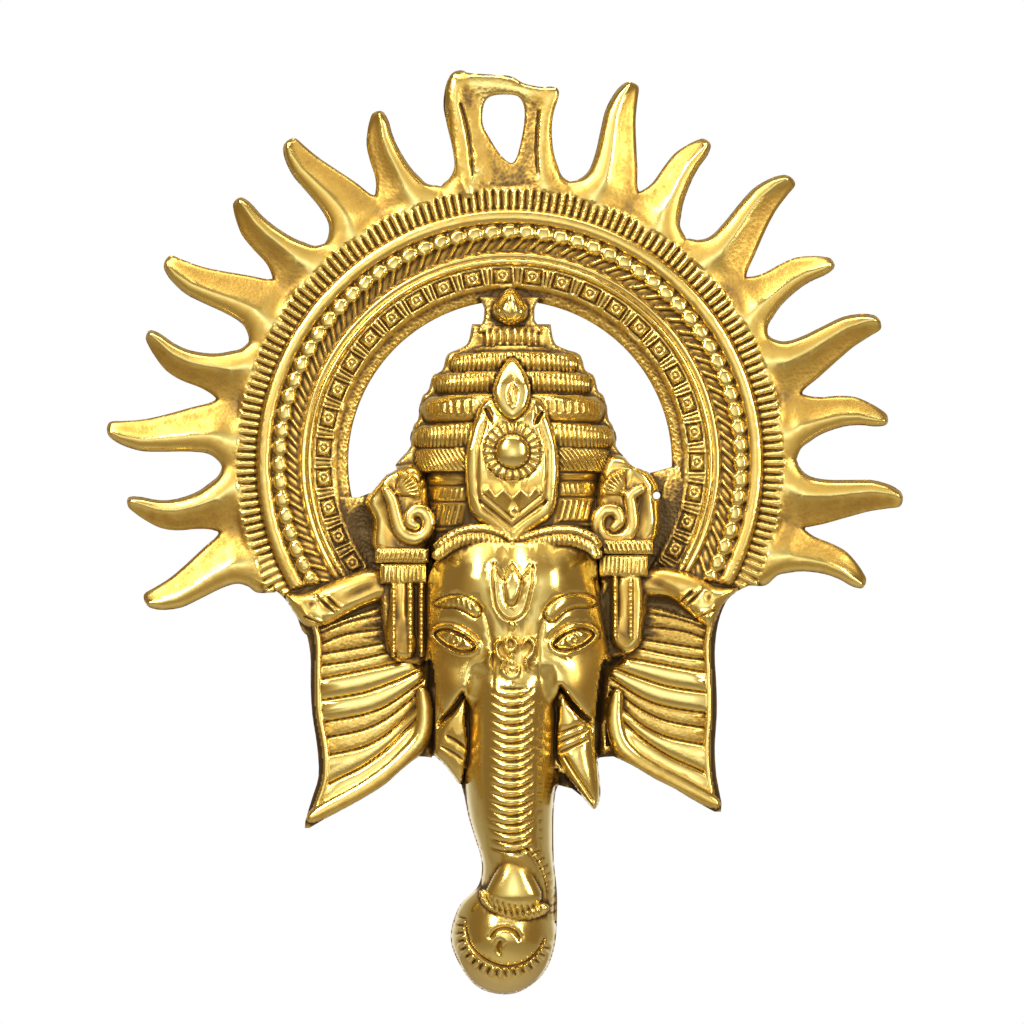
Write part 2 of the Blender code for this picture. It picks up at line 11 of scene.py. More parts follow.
import bpy
import numpy as np
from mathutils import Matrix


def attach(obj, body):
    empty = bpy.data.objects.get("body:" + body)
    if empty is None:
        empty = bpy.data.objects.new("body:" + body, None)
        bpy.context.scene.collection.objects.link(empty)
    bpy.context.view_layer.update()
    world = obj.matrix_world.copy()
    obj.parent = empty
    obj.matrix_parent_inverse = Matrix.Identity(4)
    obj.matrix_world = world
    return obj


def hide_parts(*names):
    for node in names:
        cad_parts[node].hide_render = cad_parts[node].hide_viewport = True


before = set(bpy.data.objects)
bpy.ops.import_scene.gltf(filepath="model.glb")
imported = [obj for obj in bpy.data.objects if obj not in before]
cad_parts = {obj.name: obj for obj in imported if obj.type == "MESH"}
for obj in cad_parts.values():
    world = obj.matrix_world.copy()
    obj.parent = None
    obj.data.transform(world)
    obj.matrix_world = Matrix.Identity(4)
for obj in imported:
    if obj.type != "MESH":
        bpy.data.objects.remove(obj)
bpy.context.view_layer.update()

# %% [markdown]
# ## The camera
# The photo looks straight at the hanging from in front. Lengths across the picture were read from the printed
# sizes: 0.2423 mm for each of its pixels. A long lens from one metre keeps the depth of the face natural.

# %% Camera
DISTANCE = 1033.5
CENTRE_X, CENTRE_Z = 0.48, -101.0

camera = bpy.data.objects.new("camera", bpy.data.cameras.new("camera"))
bpy.context.scene.collection.objects.link(camera)
camera.data.lens = 150
camera.location = (CENTRE_X / 1000, -DISTANCE / 1000, CENTRE_Z / 1000)
camera.rotation_euler = (math.radians(90), 0, 0)
bpy.context.scene.camera = camera
print("camera at", [round(v, 3) for v in camera.location])

# %% [markdown]
# ## The sheet
# Four arrays hold the relief: `height` is how far the metal stands off the wall, `inner` is the distance inside
# the outline (negative outside), `stipple` says where the ground was punched rough, and the fourth where brown wash
# was left on it and where shade and reflection are painted. X and Z are millimetres, measured from the nail at the
# top of the hanging eye.

# %% The sheet
STEP = 0.15
RING_Z = -89.0
columns = np.arange(-100.0, 98.0, STEP, dtype=np.float32)
rows = np.arange(9.0, -221.0, -STEP, dtype=np.float32)
X, Z = np.meshgrid(columns, rows)
height = np.zeros_like(X)
inner = np.full_like(X, -99.0)
stipple = np.zeros_like(X)
wash_and_shade = np.zeros_like(X)
print("sheet", X.shape)

# %% [markdown]
# ## Lines and outlines
# Every form starts as a line or an outline drawn on the sheet, so these helpers come first. They find the patch
# of the sheet round a drawing and how far each sample of the patch lies from it. With that distance a bead, a
# groove or a rounded edge is a short sum, and no point of the surface is ever moved by hand.

# %% Lines and outlines


def window(points, margin=1.0):
    """The part of the sheet around some (x, z) points."""
    px = [p[0] for p in points]
    pz = [p[1] for p in points]
    left = max(0, int((min(px) - margin - columns[0]) / STEP))
    right = max(0, int((max(px) + margin - columns[0]) / STEP) + 2)
    top = max(0, int((rows[0] - max(pz) - margin) / STEP))
    bottom = max(0, int((rows[0] - min(pz) + margin) / STEP) + 2)
    return slice(top, bottom), slice(left, right)


def curve(points, cuts=5, closed=False):
    """A smooth line through the points."""
    p = np.array(points, float)
    before, after = (p[-1:], p[:2]) if closed else (2 * p[:1] - p[1:2], 2 * p[-1:] - p[-2:-1])
    q = np.concatenate([before, p, after])
    t = np.linspace(0, 1, cuts, endpoint=False)[:, None]
    line = []
    for a, b, c, d in zip(q, q[1:], q[2:], q[3:]):
        line.append(0.5 * (2 * b + (c - a) * t + (2 * a - 5 * b + 4 * c - d) * t**2
                           + (3 * b - a - 3 * c + d) * t**3))
    return [tuple(v) for v in np.concatenate(line + [q[-2:-1]] if not closed else line)]


def outline_of(points, cuts=5):
    """A smooth closed line through the points."""
    return curve(points, cuts, closed=True)


def along(points, win):
    """For the window: the distance to a line, and the share of its length at the nearest point."""
    x, z = X[win], Z[win]
    near = np.full(x.shape, 1e6, np.float32)
    share = np.zeros(x.shape, np.float32)
    lengths = [math.dist(a, b) for a, b in zip(points, points[1:])]
    walked = 0.0
    for (ax, az), (bx, bz), length in zip(points, points[1:], lengths):
        if length > 0:
            t = unit(((x - ax) * (bx - ax) + (z - az) * (bz - az)) / length**2)
            away = np.hypot(x - ax - t * (bx - ax), z - az - t * (bz - az))
            closer = away < near
            near[closer] = away[closer]
            share[closer] = ((walked + t * length) / sum(lengths))[closer]
        walked += length
    return near, share


def depth_in(points, win):
    """For the window: the distance inside an outline, negative outside it."""
    x, z = X[win], Z[win]
    loop = list(points) + [points[0]]
    near, _ = along(loop, win)
    within = np.zeros(x.shape, bool)
    for (ax, az), (bx, bz) in zip(loop, loop[1:]):
        if az != bz:
            within ^= ((az > z) != (bz > z)) & (x < (bx - ax) * (z - az) / (bz - az) + ax)
    return np.where(within, near, -near)


def region(points, margin=1.0):
    """The window round an outline and, for that window, the distance inside the outline."""
    win = window(points, margin)
    return win, depth_in(points, win)


print("four corners make a loop of", len(outline_of([(0, 0), (1, 0), (1, 1), (0, 1)])), "points")

# %% [markdown]
# ## The ring
# On the real piece the ring is a stack of mouldings that run round the hole: a rough ledge, a band of little
# square pads, two thin beads, a band of chain links, a plain half-round and a fringe of radial cuts. A lathe
# profile gives the mouldings. The repeats are easiest in polar form, as waves counted round the ring.

# %% Ring profile
HOLE, LEDGE, PADS, BEADS = 39.2, 41.8, 43.2, 47.3
BRAID, LINKS, LINKS_END = 51.2, 54.6, 58.1
BAND, BAND_END, FRINGE, RIM = 57.9, 61.3, 61.4, 67.0
reach = np.hypot(X, Z - RING_Z)
bearing = np.degrees(np.arctan2(Z - RING_Z, X))
bearing = np.where(bearing < -90, bearing + 360, bearing)

profile_r = [HOLE, 40.5, LEDGE, PADS, BEADS, 47.7, 48.1, 48.7, 49.3, 49.6, 50.1, 50.6, 51.1, 52.0, 54.6, 57.0, 57.7,
             57.9, 58.3, 59.4, 60.7, 61.2, 61.5, 62.5, 65.0, RIM]
profile_h = [1.8, 2.3, 2.5, 4.2, 4.7, 4.0, 4.9, 5.4, 4.9, 4.4, 4.9, 4.8, 4.2, 4.9, 5.6, 5.4, 4.9,
             5.4, 5.85, 6.15, 6.0, 5.5, 4.5, 4.5, 4.7, 4.9]
turned = np.interp(reach, profile_r, profile_h).astype(np.float32)
on_ring = (reach > HOLE) & (reach < RIM) & (Z > RING_Z - 34)
height[on_ring] = turned[on_ring]
ring_foot = Z - RING_Z + 29.2 - 0.45 * (np.abs(X) - 59.3)
inner = np.maximum(inner, np.minimum(np.minimum(reach - HOLE, RIM - reach), ring_foot)).astype(np.float32)
stipple[on_ring & (reach < LEDGE)] = 1.0
print("ring profile", round(float(turned[on_ring].max()), 2), "mm at its crest")

# %% Square pads


def hump(t):
    """A half round: 1 in the middle, 0 at t = -1 and 1."""
    return np.sqrt(np.maximum(0, 1 - t * t))


def from_nearest(a):
    """How far each value is from its nearest whole number."""
    return a - np.round(a)


def between(nearest, farthest):
    """The part of the ring between two distances from its middle."""
    return on_ring & (reach > nearest) & (reach < farthest)


pad_pitch = 9.24
pad_x = from_nearest((bearing + 27.75) / pad_pitch) * math.radians(pad_pitch) * reach
pad_z = reach - 0.5 * (PADS + BEADS)
from_dot = np.hypot(pad_x, pad_z)
pads = 0.5 * hump((from_dot - 1.2) / 0.42) + 0.75 * hump(from_dot / 0.6)
square = np.maximum(np.abs(pad_x) - 2.1, np.abs(pad_z) - 1.75)
pads -= 0.75 * hump(square / 0.3)
pads += 0.25 * hump((square - 0.55) / 0.3) * (np.abs(pad_z) < 1.9)
pads -= 0.6 * hump((np.abs(pad_x) - 3.05) / 0.25) * (np.abs(pad_z) < 1.9)
pad_band = between(PADS, BEADS)
height[pad_band] += pads[pad_band]
print("pads on", int(pad_band.sum()), "samples")

# %% Chain and braid


def unit(a):
    """The values limited to 0 to 1."""
    return np.clip(a, 0, 1)


link_pitch = 4.3
link_x = from_nearest(bearing / link_pitch) * math.radians(link_pitch) * reach
scale = np.hypot(link_x / 2.2, (reach - 55.9) / 2.0)
chain = hump(scale**2)
outer_arc = np.hypot((link_x - 0.5) / 2.1, (reach - 56.3) / 1.8)
chain += 0.3 * hump((outer_arc - 0.98) / 0.14) * (reach > 57.0)
braid = link_x + 0.95 * (reach - 52.9)
braid = (braid / (math.radians(link_pitch) * reach) + 0.5) % 1.0 - 0.5
in_braid = unit((reach - 51.3) / 0.5) * unit((54.9 - reach) / 0.5)
cord = hump((np.abs(braid) - 0.5) / 0.2)
leaf = hump(braid / 0.24)
chain += (cord + 0.35 * leaf - 0.75) * in_braid
links = between(BRAID, LINKS_END)
height[links] += (chain - 0.4)[links]
print("links on", int(links.sum()), "samples")

# %% Fringe and wash
cut_pitch = 1.75
cut = bearing / cut_pitch
cut_x = from_nearest(cut) * math.radians(cut_pitch) * reach
ray_bearings = [-31, -18.8, -5.6, 6.6, 20.6, 31.9, 45, 58.6, 71.9, 83.8, 97.3, 110.9, 124.4, 136.3, 149.4, 160.6, 175,
                186, 200.6, 213]
from_ray = np.interp(bearing, np.sort(ray_bearings + [(a + b) / 2 for a, b in zip(ray_bearings, ray_bearings[1:])]),
                     [0, 1] * (len(ray_bearings) - 1) + [0])
cut_end = 65.6 + 2.4 * from_ray**1.4 + 0.5 * np.cos(np.round(cut) * 2.1)
cut_end = np.where((np.abs(X + 1.5) < 11) & (Z > -60), RIM, cut_end)
cuts = between(FRINGE, cut_end)
finger = hump(cut_x / 0.84)
fringe = (1.15 * finger - 0.95) * unit((cut_end - reach) / 2.0) ** 0.6
height[cuts] += fringe[cuts]
stipple[cuts] = 0.4
wash_and_shade[between(LEDGE, BEADS)] = 0.36
wash_and_shade[between(BRAID, LINKS)] = 0.4
wash_and_shade[between(BAND, BAND_END)] = 0.34
wash_and_shade[cuts] = 0.12
print("ring height", round(float(height[on_ring].max()), 2), "mm")

# %% [markdown]
# ## The flame rays
# Eighteen rays stand round the ring in pairs, one short and one long. Each has a steep side and a sloping side
# that meet in a bright crest. Two short lists give the distances of both sides from the ray's own middle line.
# No two rays are quite alike on a hand-cast piece, so bearing, reach and bend are listed ray by ray.

# %% Flames
LONG = {
    "bearing": (-5.6, 20.6, 45.0, 71.9, 97.3, 124.4, 149.4, 175.0, 200.6),
    "reach": (28.6, 29.0, 30.0, 29.7, 28.8, 27.8, 29.8, 31.0, 27.7),
    "bend": (0.6, 0.2, -0.6, 0.3, -0.3, 0.8, -0.1, -0.3, -0.1),
    "share": (-0.1, 0.05, 0.11, 0.20, 0.35, 0.56, 0.72, 0.87, 0.96, 0.99, 1.00),
    "slope": (12.5, 12.5, 11.0, 8.5, 6.9, 4.5, 2.9, 2.0, 1.6, 1.0, 0.0),
    "steep": (9.5, 8.0, 5.7, 4.1, 3.9, 4.5, 4.8, 3.9, 2.6, 1.6, 0.6),
    "lean": 1,
}
SHORT = {
    "bearing": (-18.8, 6.6, 31.9, 58.6, 83.8, 110.9, 136.3, 160.6, 186.0),
    "reach": (24.0, 25.2, 25.2, 24.5, 24.6, 24.0, 25.0, 26.4, 26.3),
    "bend": (0.3, 0.7, 0.0, -0.7, 0.0, -0.6, -0.6, 1.5, 1.8),
    "share": (-0.1, 0.05, 0.13, 0.22, 0.36, 0.56, 0.72, 0.86, 0.95, 0.99, 1.00),
    "slope": (12.5, 12.0, 10.0, 7.8, 6.5, 6.2, 5.5, 3.7, 2.1, 1.1, 0.1),
    "steep": (9.5, 8.3, 5.2, 3.9, 2.4, 1.4, 1.3, 1.8, 1.7, 1.1, 0.2),
    "lean": -1,
}
print(len(LONG["bearing"]) + len(SHORT["bearing"]), "rays")

# %% One ray


def shoulder(s, width):
    """A quarter round: 0 at the outline, 1 from the width inwards."""
    return np.sqrt(np.maximum(0, 1 - (1 - unit(s / width)) ** 2))


def blend(a, b, t):
    """A smooth step from a to b while t runs from 0 to 1."""
    t = unit(t)
    return a + (b - a) * t * t * (3 - 2 * t)


def lay(win, form, where, outline=None):
    """Lays a form on the sheet wherever it stands higher than what is there."""
    part = height[win]
    part[where] = np.maximum(part[where], form[where])
    if outline is not None:
        inner[win] = np.maximum(inner[win], outline)


def flame(kind, number):
    """Lays one ray: its outline from the two sides, its crest where the sloping side meets the steep one."""
    angle = math.radians(kind["bearing"][number])
    length = kind["reach"][number]
    out = np.array((math.cos(angle), math.sin(angle)))
    across = np.array((-math.sin(angle), math.cos(angle))) * kind["lean"]
    sides = []
    for name, sign in (("slope", -1), ("steep", 1)):
        side = []
        for share, offset in zip(kind["share"], kind[name]):
            shift = kind["bend"][number] * math.sin(math.pi * max(share, 0))
            point = out * (RIM + share * length) + across * (sign * offset - shift)
            side.append((point[0], point[1] + RING_Z))
        sides.append(curve(side, 4))
    outline = sides[0] + sides[1][::-1]
    win, s = region(outline)
    x, z = X[win], Z[win] - RING_Z
    share = (x * out[0] + z * out[1] - RIM) / length
    offset = x * across[0] + z * across[1] + kind["bend"][number] * np.sin(np.pi * unit(share))
    slope = np.interp(share, kind["share"], kind["slope"])
    steep = np.interp(share, kind["share"], kind["steep"])
    v = (offset + slope) / np.maximum(slope + steep, 0.1)
    crest = 0.62
    top = blend(5.2, 5.7, share / 0.2) - 2.0 * unit(share)
    rising = 0.56 + 0.44 * unit(v / crest) ** 1.6
    falling = 0.52 + 0.48 * hump(unit((v - crest) / (1 - crest)) * 0.98)
    form = top * np.where(v < crest, rising, falling) * (0.72 + 0.28 * shoulder(s, 1.1))
    where = (s > 0) & (share > -0.03)
    lay(win, form, where, s)
    stipple[win][where & (v < crest - 0.1) & (share < 0.8)] = 0.16
    # Painted shade: both sides of the ray are darkened, the outer part of the sloping side most, and only the crest
    # is left bright as a painted highlight.
    wash_and_shade[win][where & (v < crest - 0.05)] = 0.36
    wash_and_shade[win][where & (v > crest + 0.05)] = 0.4
    wash_and_shade[win][where & (v < 0.3) & (share < 0.9)] = 0.46


for number in range(len(LONG["bearing"])):
    flame(SHORT, number)
    flame(LONG, number)
print("rays reach", round(float(np.abs(X[inner > 0]).max()), 1), "mm to the side")

# %% Ends of the ring


def slab(points, top, foot, round_by=1.0, rough=0.0, edge=False):
    """A raised shape with rounded shoulders. With edge, it also widens the outline of the casting."""
    win, s = region(points)
    where = s > 0
    lay(win, foot + (top - foot) * shoulder(s, round_by), where, s if edge else None)
    stipple[win][where] = rough


ring_ends = [
    [(-63, -112), (-61.7, -117.2), (-59.4, -118.1), (-56.8, -120), (-54.4, -122.2), (-51.8, -126), (-49.8, -130.4),
     (-46, -130), (-46, -113)],
    [(63.5, -112), (62.5, -116.3), (59.3, -118), (54.7, -120.4), (51.9, -122.5), (50.2, -125.8), (49.6, -130.5),
     (46, -130), (46, -112)],
]
for end in ring_ends:
    slab(outline_of(end, 4), 4.3, 3.4, 1.6, rough=0.2, edge=True)
print("ends down to", round(float(Z[inner > 0].min()), 1), "mm")

# %% [markdown]
# Where a ray leaves the ring the wax was smoothed with a warm tool, so the step between them is softened there.

# %% Softened saddles
MOST_MOVED = 16


def shifted(a, rows_by, columns_by):
    """The array moved by whole samples, with its border repeated."""
    padded = np.pad(a, MOST_MOVED, mode="edge")
    high, wide = a.shape
    top, left = MOST_MOVED + rows_by, MOST_MOVED + columns_by
    return padded[top:top + high, left:left + wide]


def softened(a, count):
    """The mean within so many samples, run twice for a smooth result."""
    for _ in range(2):
        a = sum(shifted(a, 0, i) for i in range(-count, count + 1)) / (2 * count + 1)
        a = sum(shifted(a, i, 0) for i in range(-count, count + 1)) / (2 * count + 1)
    return a


def softened_within(a, there, count):
    """The same, but of the metal alone, so that the empty space beside it doesn't pull it down."""
    return softened(a * there, count) / np.maximum(softened(there, count), 0.05)


saddle = unit((reach - 65.8) / 1.2) * unit((71.5 - reach) / 2.5) * (Z > -118)
there = (inner > 0).astype(np.float32)
eased = softened_within(height, there, 6)
height = (height + (eased - height) * saddle * there).astype(np.float32)
print("saddles softened on", int((saddle * there > 0).sum()), "samples")

# %% [markdown]
# ## The hanging loop
# The two top rays are bridged by a bar and a rough web, with a drop-shaped eye for the nail. The eye is the
# one hole made on purpose, so it's cut from the outline after the web is laid.

# %% Loop


def bar(points, radius, top, ends=1.0, sink=1.0):
    """A round bar along a line: its crest at the height top, thinning to the share ends at both ends."""
    win = window(points, radius + 0.5)
    near, share = along(points, win)
    r = radius * (ends + (1 - ends) * np.sqrt(unit(4 * share * (1 - share))))
    where = near < r
    lay(win, top - sink * r + sink * r * hump(near / np.maximum(r, 0.01)), where)
    stipple[win][where] *= 0.3


def stroke(points, width, rise, taper=0.6):
    """A line cut into the metal (rise below 0) or standing on it (rise above 0)."""
    win = window(points, width + 0.3)
    near, share = along(points, win)
    w = width * (taper + (1 - taper) * np.sqrt(unit(4 * share * (1 - share))))
    height[win] += rise * hump(near / w) ** 1.5


def strokes(*rows):
    """Several smooth strokes, each given as its width, its rise and its points."""
    for width, rise, *line in rows:
        stroke(curve(line), width, rise)


loop = [(-13.2, -23), (-12.8, -19), (-12.9, -15), (-14, -10), (-15, -5), (-15.5, -1), (-15.1, 2.4), (-14.2, 4.4),
        (-12.4, 5.7), (-9.5, 5.3), (-5, 5), (0, 4.6), (3.2, 2.9), (6, 2.2), (8.5, 1.9), (11, 1.9), (11.9, 0.7),
        (11.3, -2), (10, -6), (9.8, -12), (10.3, -16), (11, -19), (12, -23)]
eye = [(-3.2, 0), (-5.4, -0.8), (-6.5, -3), (-6.6, -7), (-4.6, -11), (-2.2, -14.6), (0.3, -16.5), (1.7, -14.8),
       (2.8, -10.5), (3.4, -7), (3.5, -3.4), (2.5, -0.9), (0.8, 0)]
slab(curve(loop), 4.1, 2.8, 1.8, rough=0.55, edge=True)
for radius, top, ends, sink, *line in (
        (2.2, 5.4, 0.75, 0.75, (-12.9, 3.6), (-13.6, 0), (-12.9, -5), (-11.8, -11), (-11.4, -18), (-10.2, -23.5)),
        (1.7, 5.0, 0.8, 0.7, (10.5, 0.6), (9.2, -2.5), (8.2, -7), (8.1, -13), (8.8, -22.5)),
        (2.0, 4.9, 0.8, 0.6, (-12.4, 3.3), (-7, 2.9), (-1, 2.5), (3.2, 1), (7, 0), (10, 0.2)),
        (2.0, 4.7, 0.6, 0.5, (-9, -4), (-8.2, -9), (-6.6, -15), (-5.8, -21))):
    bar(curve(line), radius, top, ends, sink)
loop_win = window(loop, 0)
there = (inner[loop_win] > 0).astype(np.float32)
eased = softened_within(height[loop_win], there, 8)
height[loop_win] = np.where(Z[loop_win] > -21, eased * there, height[loop_win])
strokes((0.42, -0.75, (-12, -2), (-10.8, -6), (-9.7, -12), (-9, -19.5)),
        (0.4, -0.7, (6.8, -4), (6.4, -9), (6.2, -14), (6.6, -19)))
eye_line = outline_of(eye)
eye_win, in_eye = region(eye_line, 3)
inner[eye_win] = np.minimum(inner[eye_win], -in_eye)
print("eye", round(float((in_eye > 0).sum() * STEP**2)), "square mm")

# %% [markdown]
# ## The stippled ground
# Between the ring, the crown and the face runs a thin web of metal. The caster left it rough, by pressing a
# blunt point into the wax, so that the smooth ornaments stand out from a dark ground.

# %% Ground webs
webs = [
    [(-41, -97.3), (-37, -97.6), (-33.5, -96.2), (-30, -92), (-24, -89), (-20, -92), (-17, -120), (-20, -150),
     (-31, -150), (-34, -124), (-38, -117), (-43, -117), (-43, -104)],
    [(-22, -92), (22, -92), (22, -140), (-22, -140)],
    [(41, -89.6), (37.5, -90.6), (34, -91.5), (30, -90), (26, -87.5), (20, -92), (17, -120), (20, -150),
     (31, -150), (34, -124), (38, -116), (43, -117), (43, -100)],
    [(-24, -147), (-12, -147), (-11, -166.5), (-19.5, -159)],
    [(11, -147), (26.5, -147), (25.5, -158.5), (20.5, -159.5), (20.5, -172.3), (15, -168), (11.2, -167)],
]
for web in webs:
    slab(web, 3.0, 3.0, rough=1.0, edge=True)
for filling in ([(-18.5, -147), (-9, -138), (-9, -164), (-12.6, -164.5), (-18.6, -158)],
                [(9, -138), (21.5, -148), (20.2, -158), (14, -164.5), (9, -163)]):
    slab(filling, 15.0, 15.0, rough=0.9, edge=True)
pin_win = window([(35.5, -97)], 3)
pinhole = np.hypot(X[pin_win] - 35.5, Z[pin_win] + 97)
inner[pin_win] = np.minimum(inner[pin_win], pinhole - 0.9)
print("rough ground", round(float((stipple > 0.9).sum() * STEP**2)), "square mm")

# %% [markdown]
# ## The crown
# The crown is a stack of tiers of growing width, like turned rolls, squashed to three quarters of their depth
# so the mask doesn't stand too far off the wall. Each tier is fluted, so the cuts are counted along the arc of
# the tier and crowd together at its sides, as real cuts do.

# %% Crown tiers
FIGURE_X = 0.9
SQUASH = 0.729
# Each tier: top, bottom, left, right, how round its roll is, then the pitch and depth of its flutes.
tiers = [
    (-55.8, -61.4, -9.2, 9.8, 1.0, 1.85, 0.7),
    (-60.8, -63.0, -11.4, 12.2, 0.0, 0, 0),
    (-62.2, -67.0, -15.9, 17.8, 1.0, 1.4, 0.7),
    (-66.6, -67.6, -15.2, 16.8, 0.0, 0, 0),
    (-66.9, -72.0, -19.3, 20.8, 1.0, 1.4, 0.7),
    (-71.6, -73.2, -18.8, 20.4, 0.0, 0, 0),
    (-72.4, -79.0, -22.1, 23.6, 0.9, 0, 0),
    (-78.7, -79.9, -21.4, 23.0, 0.0, 0, 0),
    (-79.3, -85.1, -24.2, 25.8, 1.0, 1.4, 0.65),
    (-84.8, -85.9, -23.2, 24.6, 0.0, 0, 0),
    (-85.4, -91.0, -24.0, 25.4, 0.6, 1.45, 0.7),
    (-90.4, -112.0, -20.8, 22.4, 0.0, 0, 0),
]


def box(left, right, first, second):
    """The corners of an upright rectangle between two levels."""
    return [(left, first), (right, first), (right, second), (left, second)]


def round_depth(x, left, right):
    """How far a squashed round body between two sides stands out."""
    half = 0.5 * (right - left)
    return SQUASH * np.sqrt(np.maximum(0, half**2 - (x - 0.5 * (left + right)) ** 2))


backing = [(-9.2, -55.5), (-10.2, -60), (-12.6, -61.6), (-15.2, -62.9), (-16.4, -66.6), (-18.7, -68), (-19.8, -71.6),
           (-21.3, -73.2), (-22.3, -78.6), (-23.4, -80.2), (-24, -85), (-24.2, -92), (25.6, -92), (25.6, -85),
           (24.9, -80.2), (23.9, -78.6), (22.8, -73.2), (21.3, -71.6), (20.3, -68), (18.2, -66.6), (16.9, -62.9),
           (13.5, -61.6), (10.8, -60), (9.8, -55.5)]
slab(curve(backing), 4.4, 3.2, 1.0, rough=0.9, edge=True)
for top, bottom, left, right, roll, pitch, cut_depth in tiers:
    sag = 0.9 if top > -80 else 0.3
    win = window(box(left, right, top, bottom - sag))
    x = X[win]
    half = 0.5 * (right - left)
    side = (x - 0.5 * (left + right)) / half
    z = Z[win] + sag * np.clip(side, -1, 1) ** 2
    t = (z - 0.5 * (top + bottom)) / (0.5 * (top - bottom))
    rounding = 2.3 * roll * (1 - hump(np.clip(t, -1, 1) * 0.98))
    plain = roll == 0 and top > -90
    form = round_depth(x, left + rounding, right - rounding) + 0.4 - 1.1 * plain
    if pitch:
        turn = half * np.arcsin(np.clip(side, -1, 1))
        lean = 0.9 * z if roll == 0.6 else 0
        flute = from_nearest((turn + lean) / pitch)
        form -= cut_depth * hump(flute / 0.3) * unit(4 - 4 * np.abs(t))
    s = np.minimum(1.2 * (1 - np.abs(t)) * 0.5 * (top - bottom), half - rounding - np.abs(side) * half)
    where = s > 0
    lay(win, np.maximum(form, 1.2), where, s)
    stipple[win][where] = 0.8 if plain else 0.0
    # Painted shade: each roll darkens towards its ends, where it turns away from the light; the plain tiers are
    # darkened evenly.
    wash_and_shade[win][where] = np.maximum(0.08, 0.4 * side**4)[where] if roll else 0.3

crown_win = window([(-24, -56), (25.5, -91)])
print("crown stands", round(float(height[crown_win].max()), 1), "mm off the wall")

# %% Scallops and bud
scallop_win = window([(-22, -73.4), (23.8, -78.8)], 0)
x, z = X[scallop_win], Z[scallop_win]
turn = (22.4 * np.arcsin(np.clip((x - FIGURE_X) / 22.4, -1, 1))) / 2.3
cell = from_nearest(turn) * 2.3
ridge = hump((np.hypot(cell, z + 76.2) - 1.1) / 0.35) * (z < -76.0) * (z > -78.3)
stem = hump((np.abs(cell) - 1.1) / 0.3) * (z >= -76.0) * (z < -73.8)
height[scallop_win] += 0.35 * (ridge + stem) * (np.abs(x - FIGURE_X) < 21.5)
stipple[scallop_win] = np.maximum(stipple[scallop_win], 0.45 * (z > -78.4) * (z < -73.6))

stem_plate = [(-7.2, -49), (7, -49), (5.9, -51.8), (5.9, -54.5), (8, -57.5), (-8, -57.5), (-6.4, -54.5),
              (-6.2, -51.8)]
slab(stem_plate, 5.2, 4.6, 1.0, rough=0.9, edge=True)
bud = [(0, -46.9), (2.4, -48.8), (3.9, -51.2), (3.8, -53.2), (2.6, -54.6), (0.2, -55.6), (-2.2, -54.6),
       (-3.6, -53.2), (-3.8, -51.2), (-2.4, -48.9)]
bud = [(1.1 * x, -47 + 1.04 * (z + 47)) for x, z in bud]
slab(outline_of(bud), 10.6, 5.2, 3.6, edge=True)
strokes((0.4, -0.45, (0.1, -47.6), (0.3, -50), (0.1, -52), (0.2, -55)),
        (0.35, -0.4, (-2.6, -51.2), (-2, -52.8), (-0.8, -54.2)),
        (0.35, -0.4, (2.8, -51.2), (2.2, -52.8), (1, -54.2)))
print("bud up to", round(max(z for x, z in bud), 1), "mm")

# %% [markdown]
# ## The band of the drum
# Below the tiers the crown is a plain drum, seen only in two narrow panels beside the crest. Their rows of
# hatching and beads are small strokes along the drum, repeated by a loop.

# %% Drum panels


def hatch(left, right, top, bottom, pitch, lean, rise, width=0.32):
    """A row of short strokes between two levels."""
    for x in np.arange(left, right, pitch):
        stroke([(x, top), (x + lean, bottom)], width, rise, 0.9)


def level_line(left, right, z, width, rise):
    """A level stroke from side to side."""
    stroke(curve([(left, z), (0.5 * (left + right), z), (right, z)]), width, rise, 0.9)


for side in (-1, 1):
    outer, near_crest = FIGURE_X + side * 20.6, FIGURE_X + side * 11.5
    left, right = min(outer, near_crest), max(outer, near_crest)
    drop = 1.2 if side < 0 else 0.0
    for z in (-93.4 - drop, -97.4 - drop, -103.4 - drop, -104.9 - drop):
        level_line(left, right, z, 0.42, -0.55)
    hatch(left + 0.4, right, -94.3 - drop, -96.6 - drop, 1.25, 0.5 * side, 0.32, 0.4)
    hatch(left + 0.4, right, -98.4 - drop, -102.6 - drop, 1.5, -1.1, -0.45, 0.36)
    level_line(left, right, -91.8 - drop, 0.9, 0.45)
    stipple[window([(left, -104), (right, -112)], 0)] = 0.45
print("drum panel", round(right - left, 1), "mm wide")

# %% [markdown]
# ## The crest
# The big leaf on the crown's front is a shield with a drop on top and a boss in its middle. It's one thick
# plate with stepped borders: the borders run parallel to its outline, so they come straight from the distance
# inside that outline.

# %% Crest
# Each row: level, half width, height off the wall.
CREST_ROWS = [(-63.8, 0.3, 13.2), (-67, 2.4, 15.0), (-70, 4.1, 16.4), (-72.6, 4.3, 17.3), (-74, 7.2, 17.8),
              (-78, 8.9, 19.2), (-86, 11.0, 20.2), (-94, 11.1, 20.0), (-101.2, 9.8, 19.8), (-105, 5.2, 20.2),
              (-108.6, 0.4, 20.6)]
CREST_X = 0.5
crest_line = [(CREST_X - half, z) for z, half, _ in CREST_ROWS]
crest_line += [(CREST_X + half, z) for z, half, _ in CREST_ROWS[::-1]]
crest_line = outline_of(crest_line, 4)
win, s = region(crest_line)
levels = [row[0] for row in CREST_ROWS[::-1]]
top = np.interp(Z[win], levels, [row[2] for row in CREST_ROWS[::-1]])
half = np.interp(Z[win], levels, [max(row[1], 1) for row in CREST_ROWS[::-1]])
form = top - 1.6 * unit(np.abs(X[win] - CREST_X) / half) ** 2 - 1.2 * (1 - shoulder(s, 0.9))
form -= 0.4 * hump((s - 2.7) / 0.34) * (Z[win] < -79)
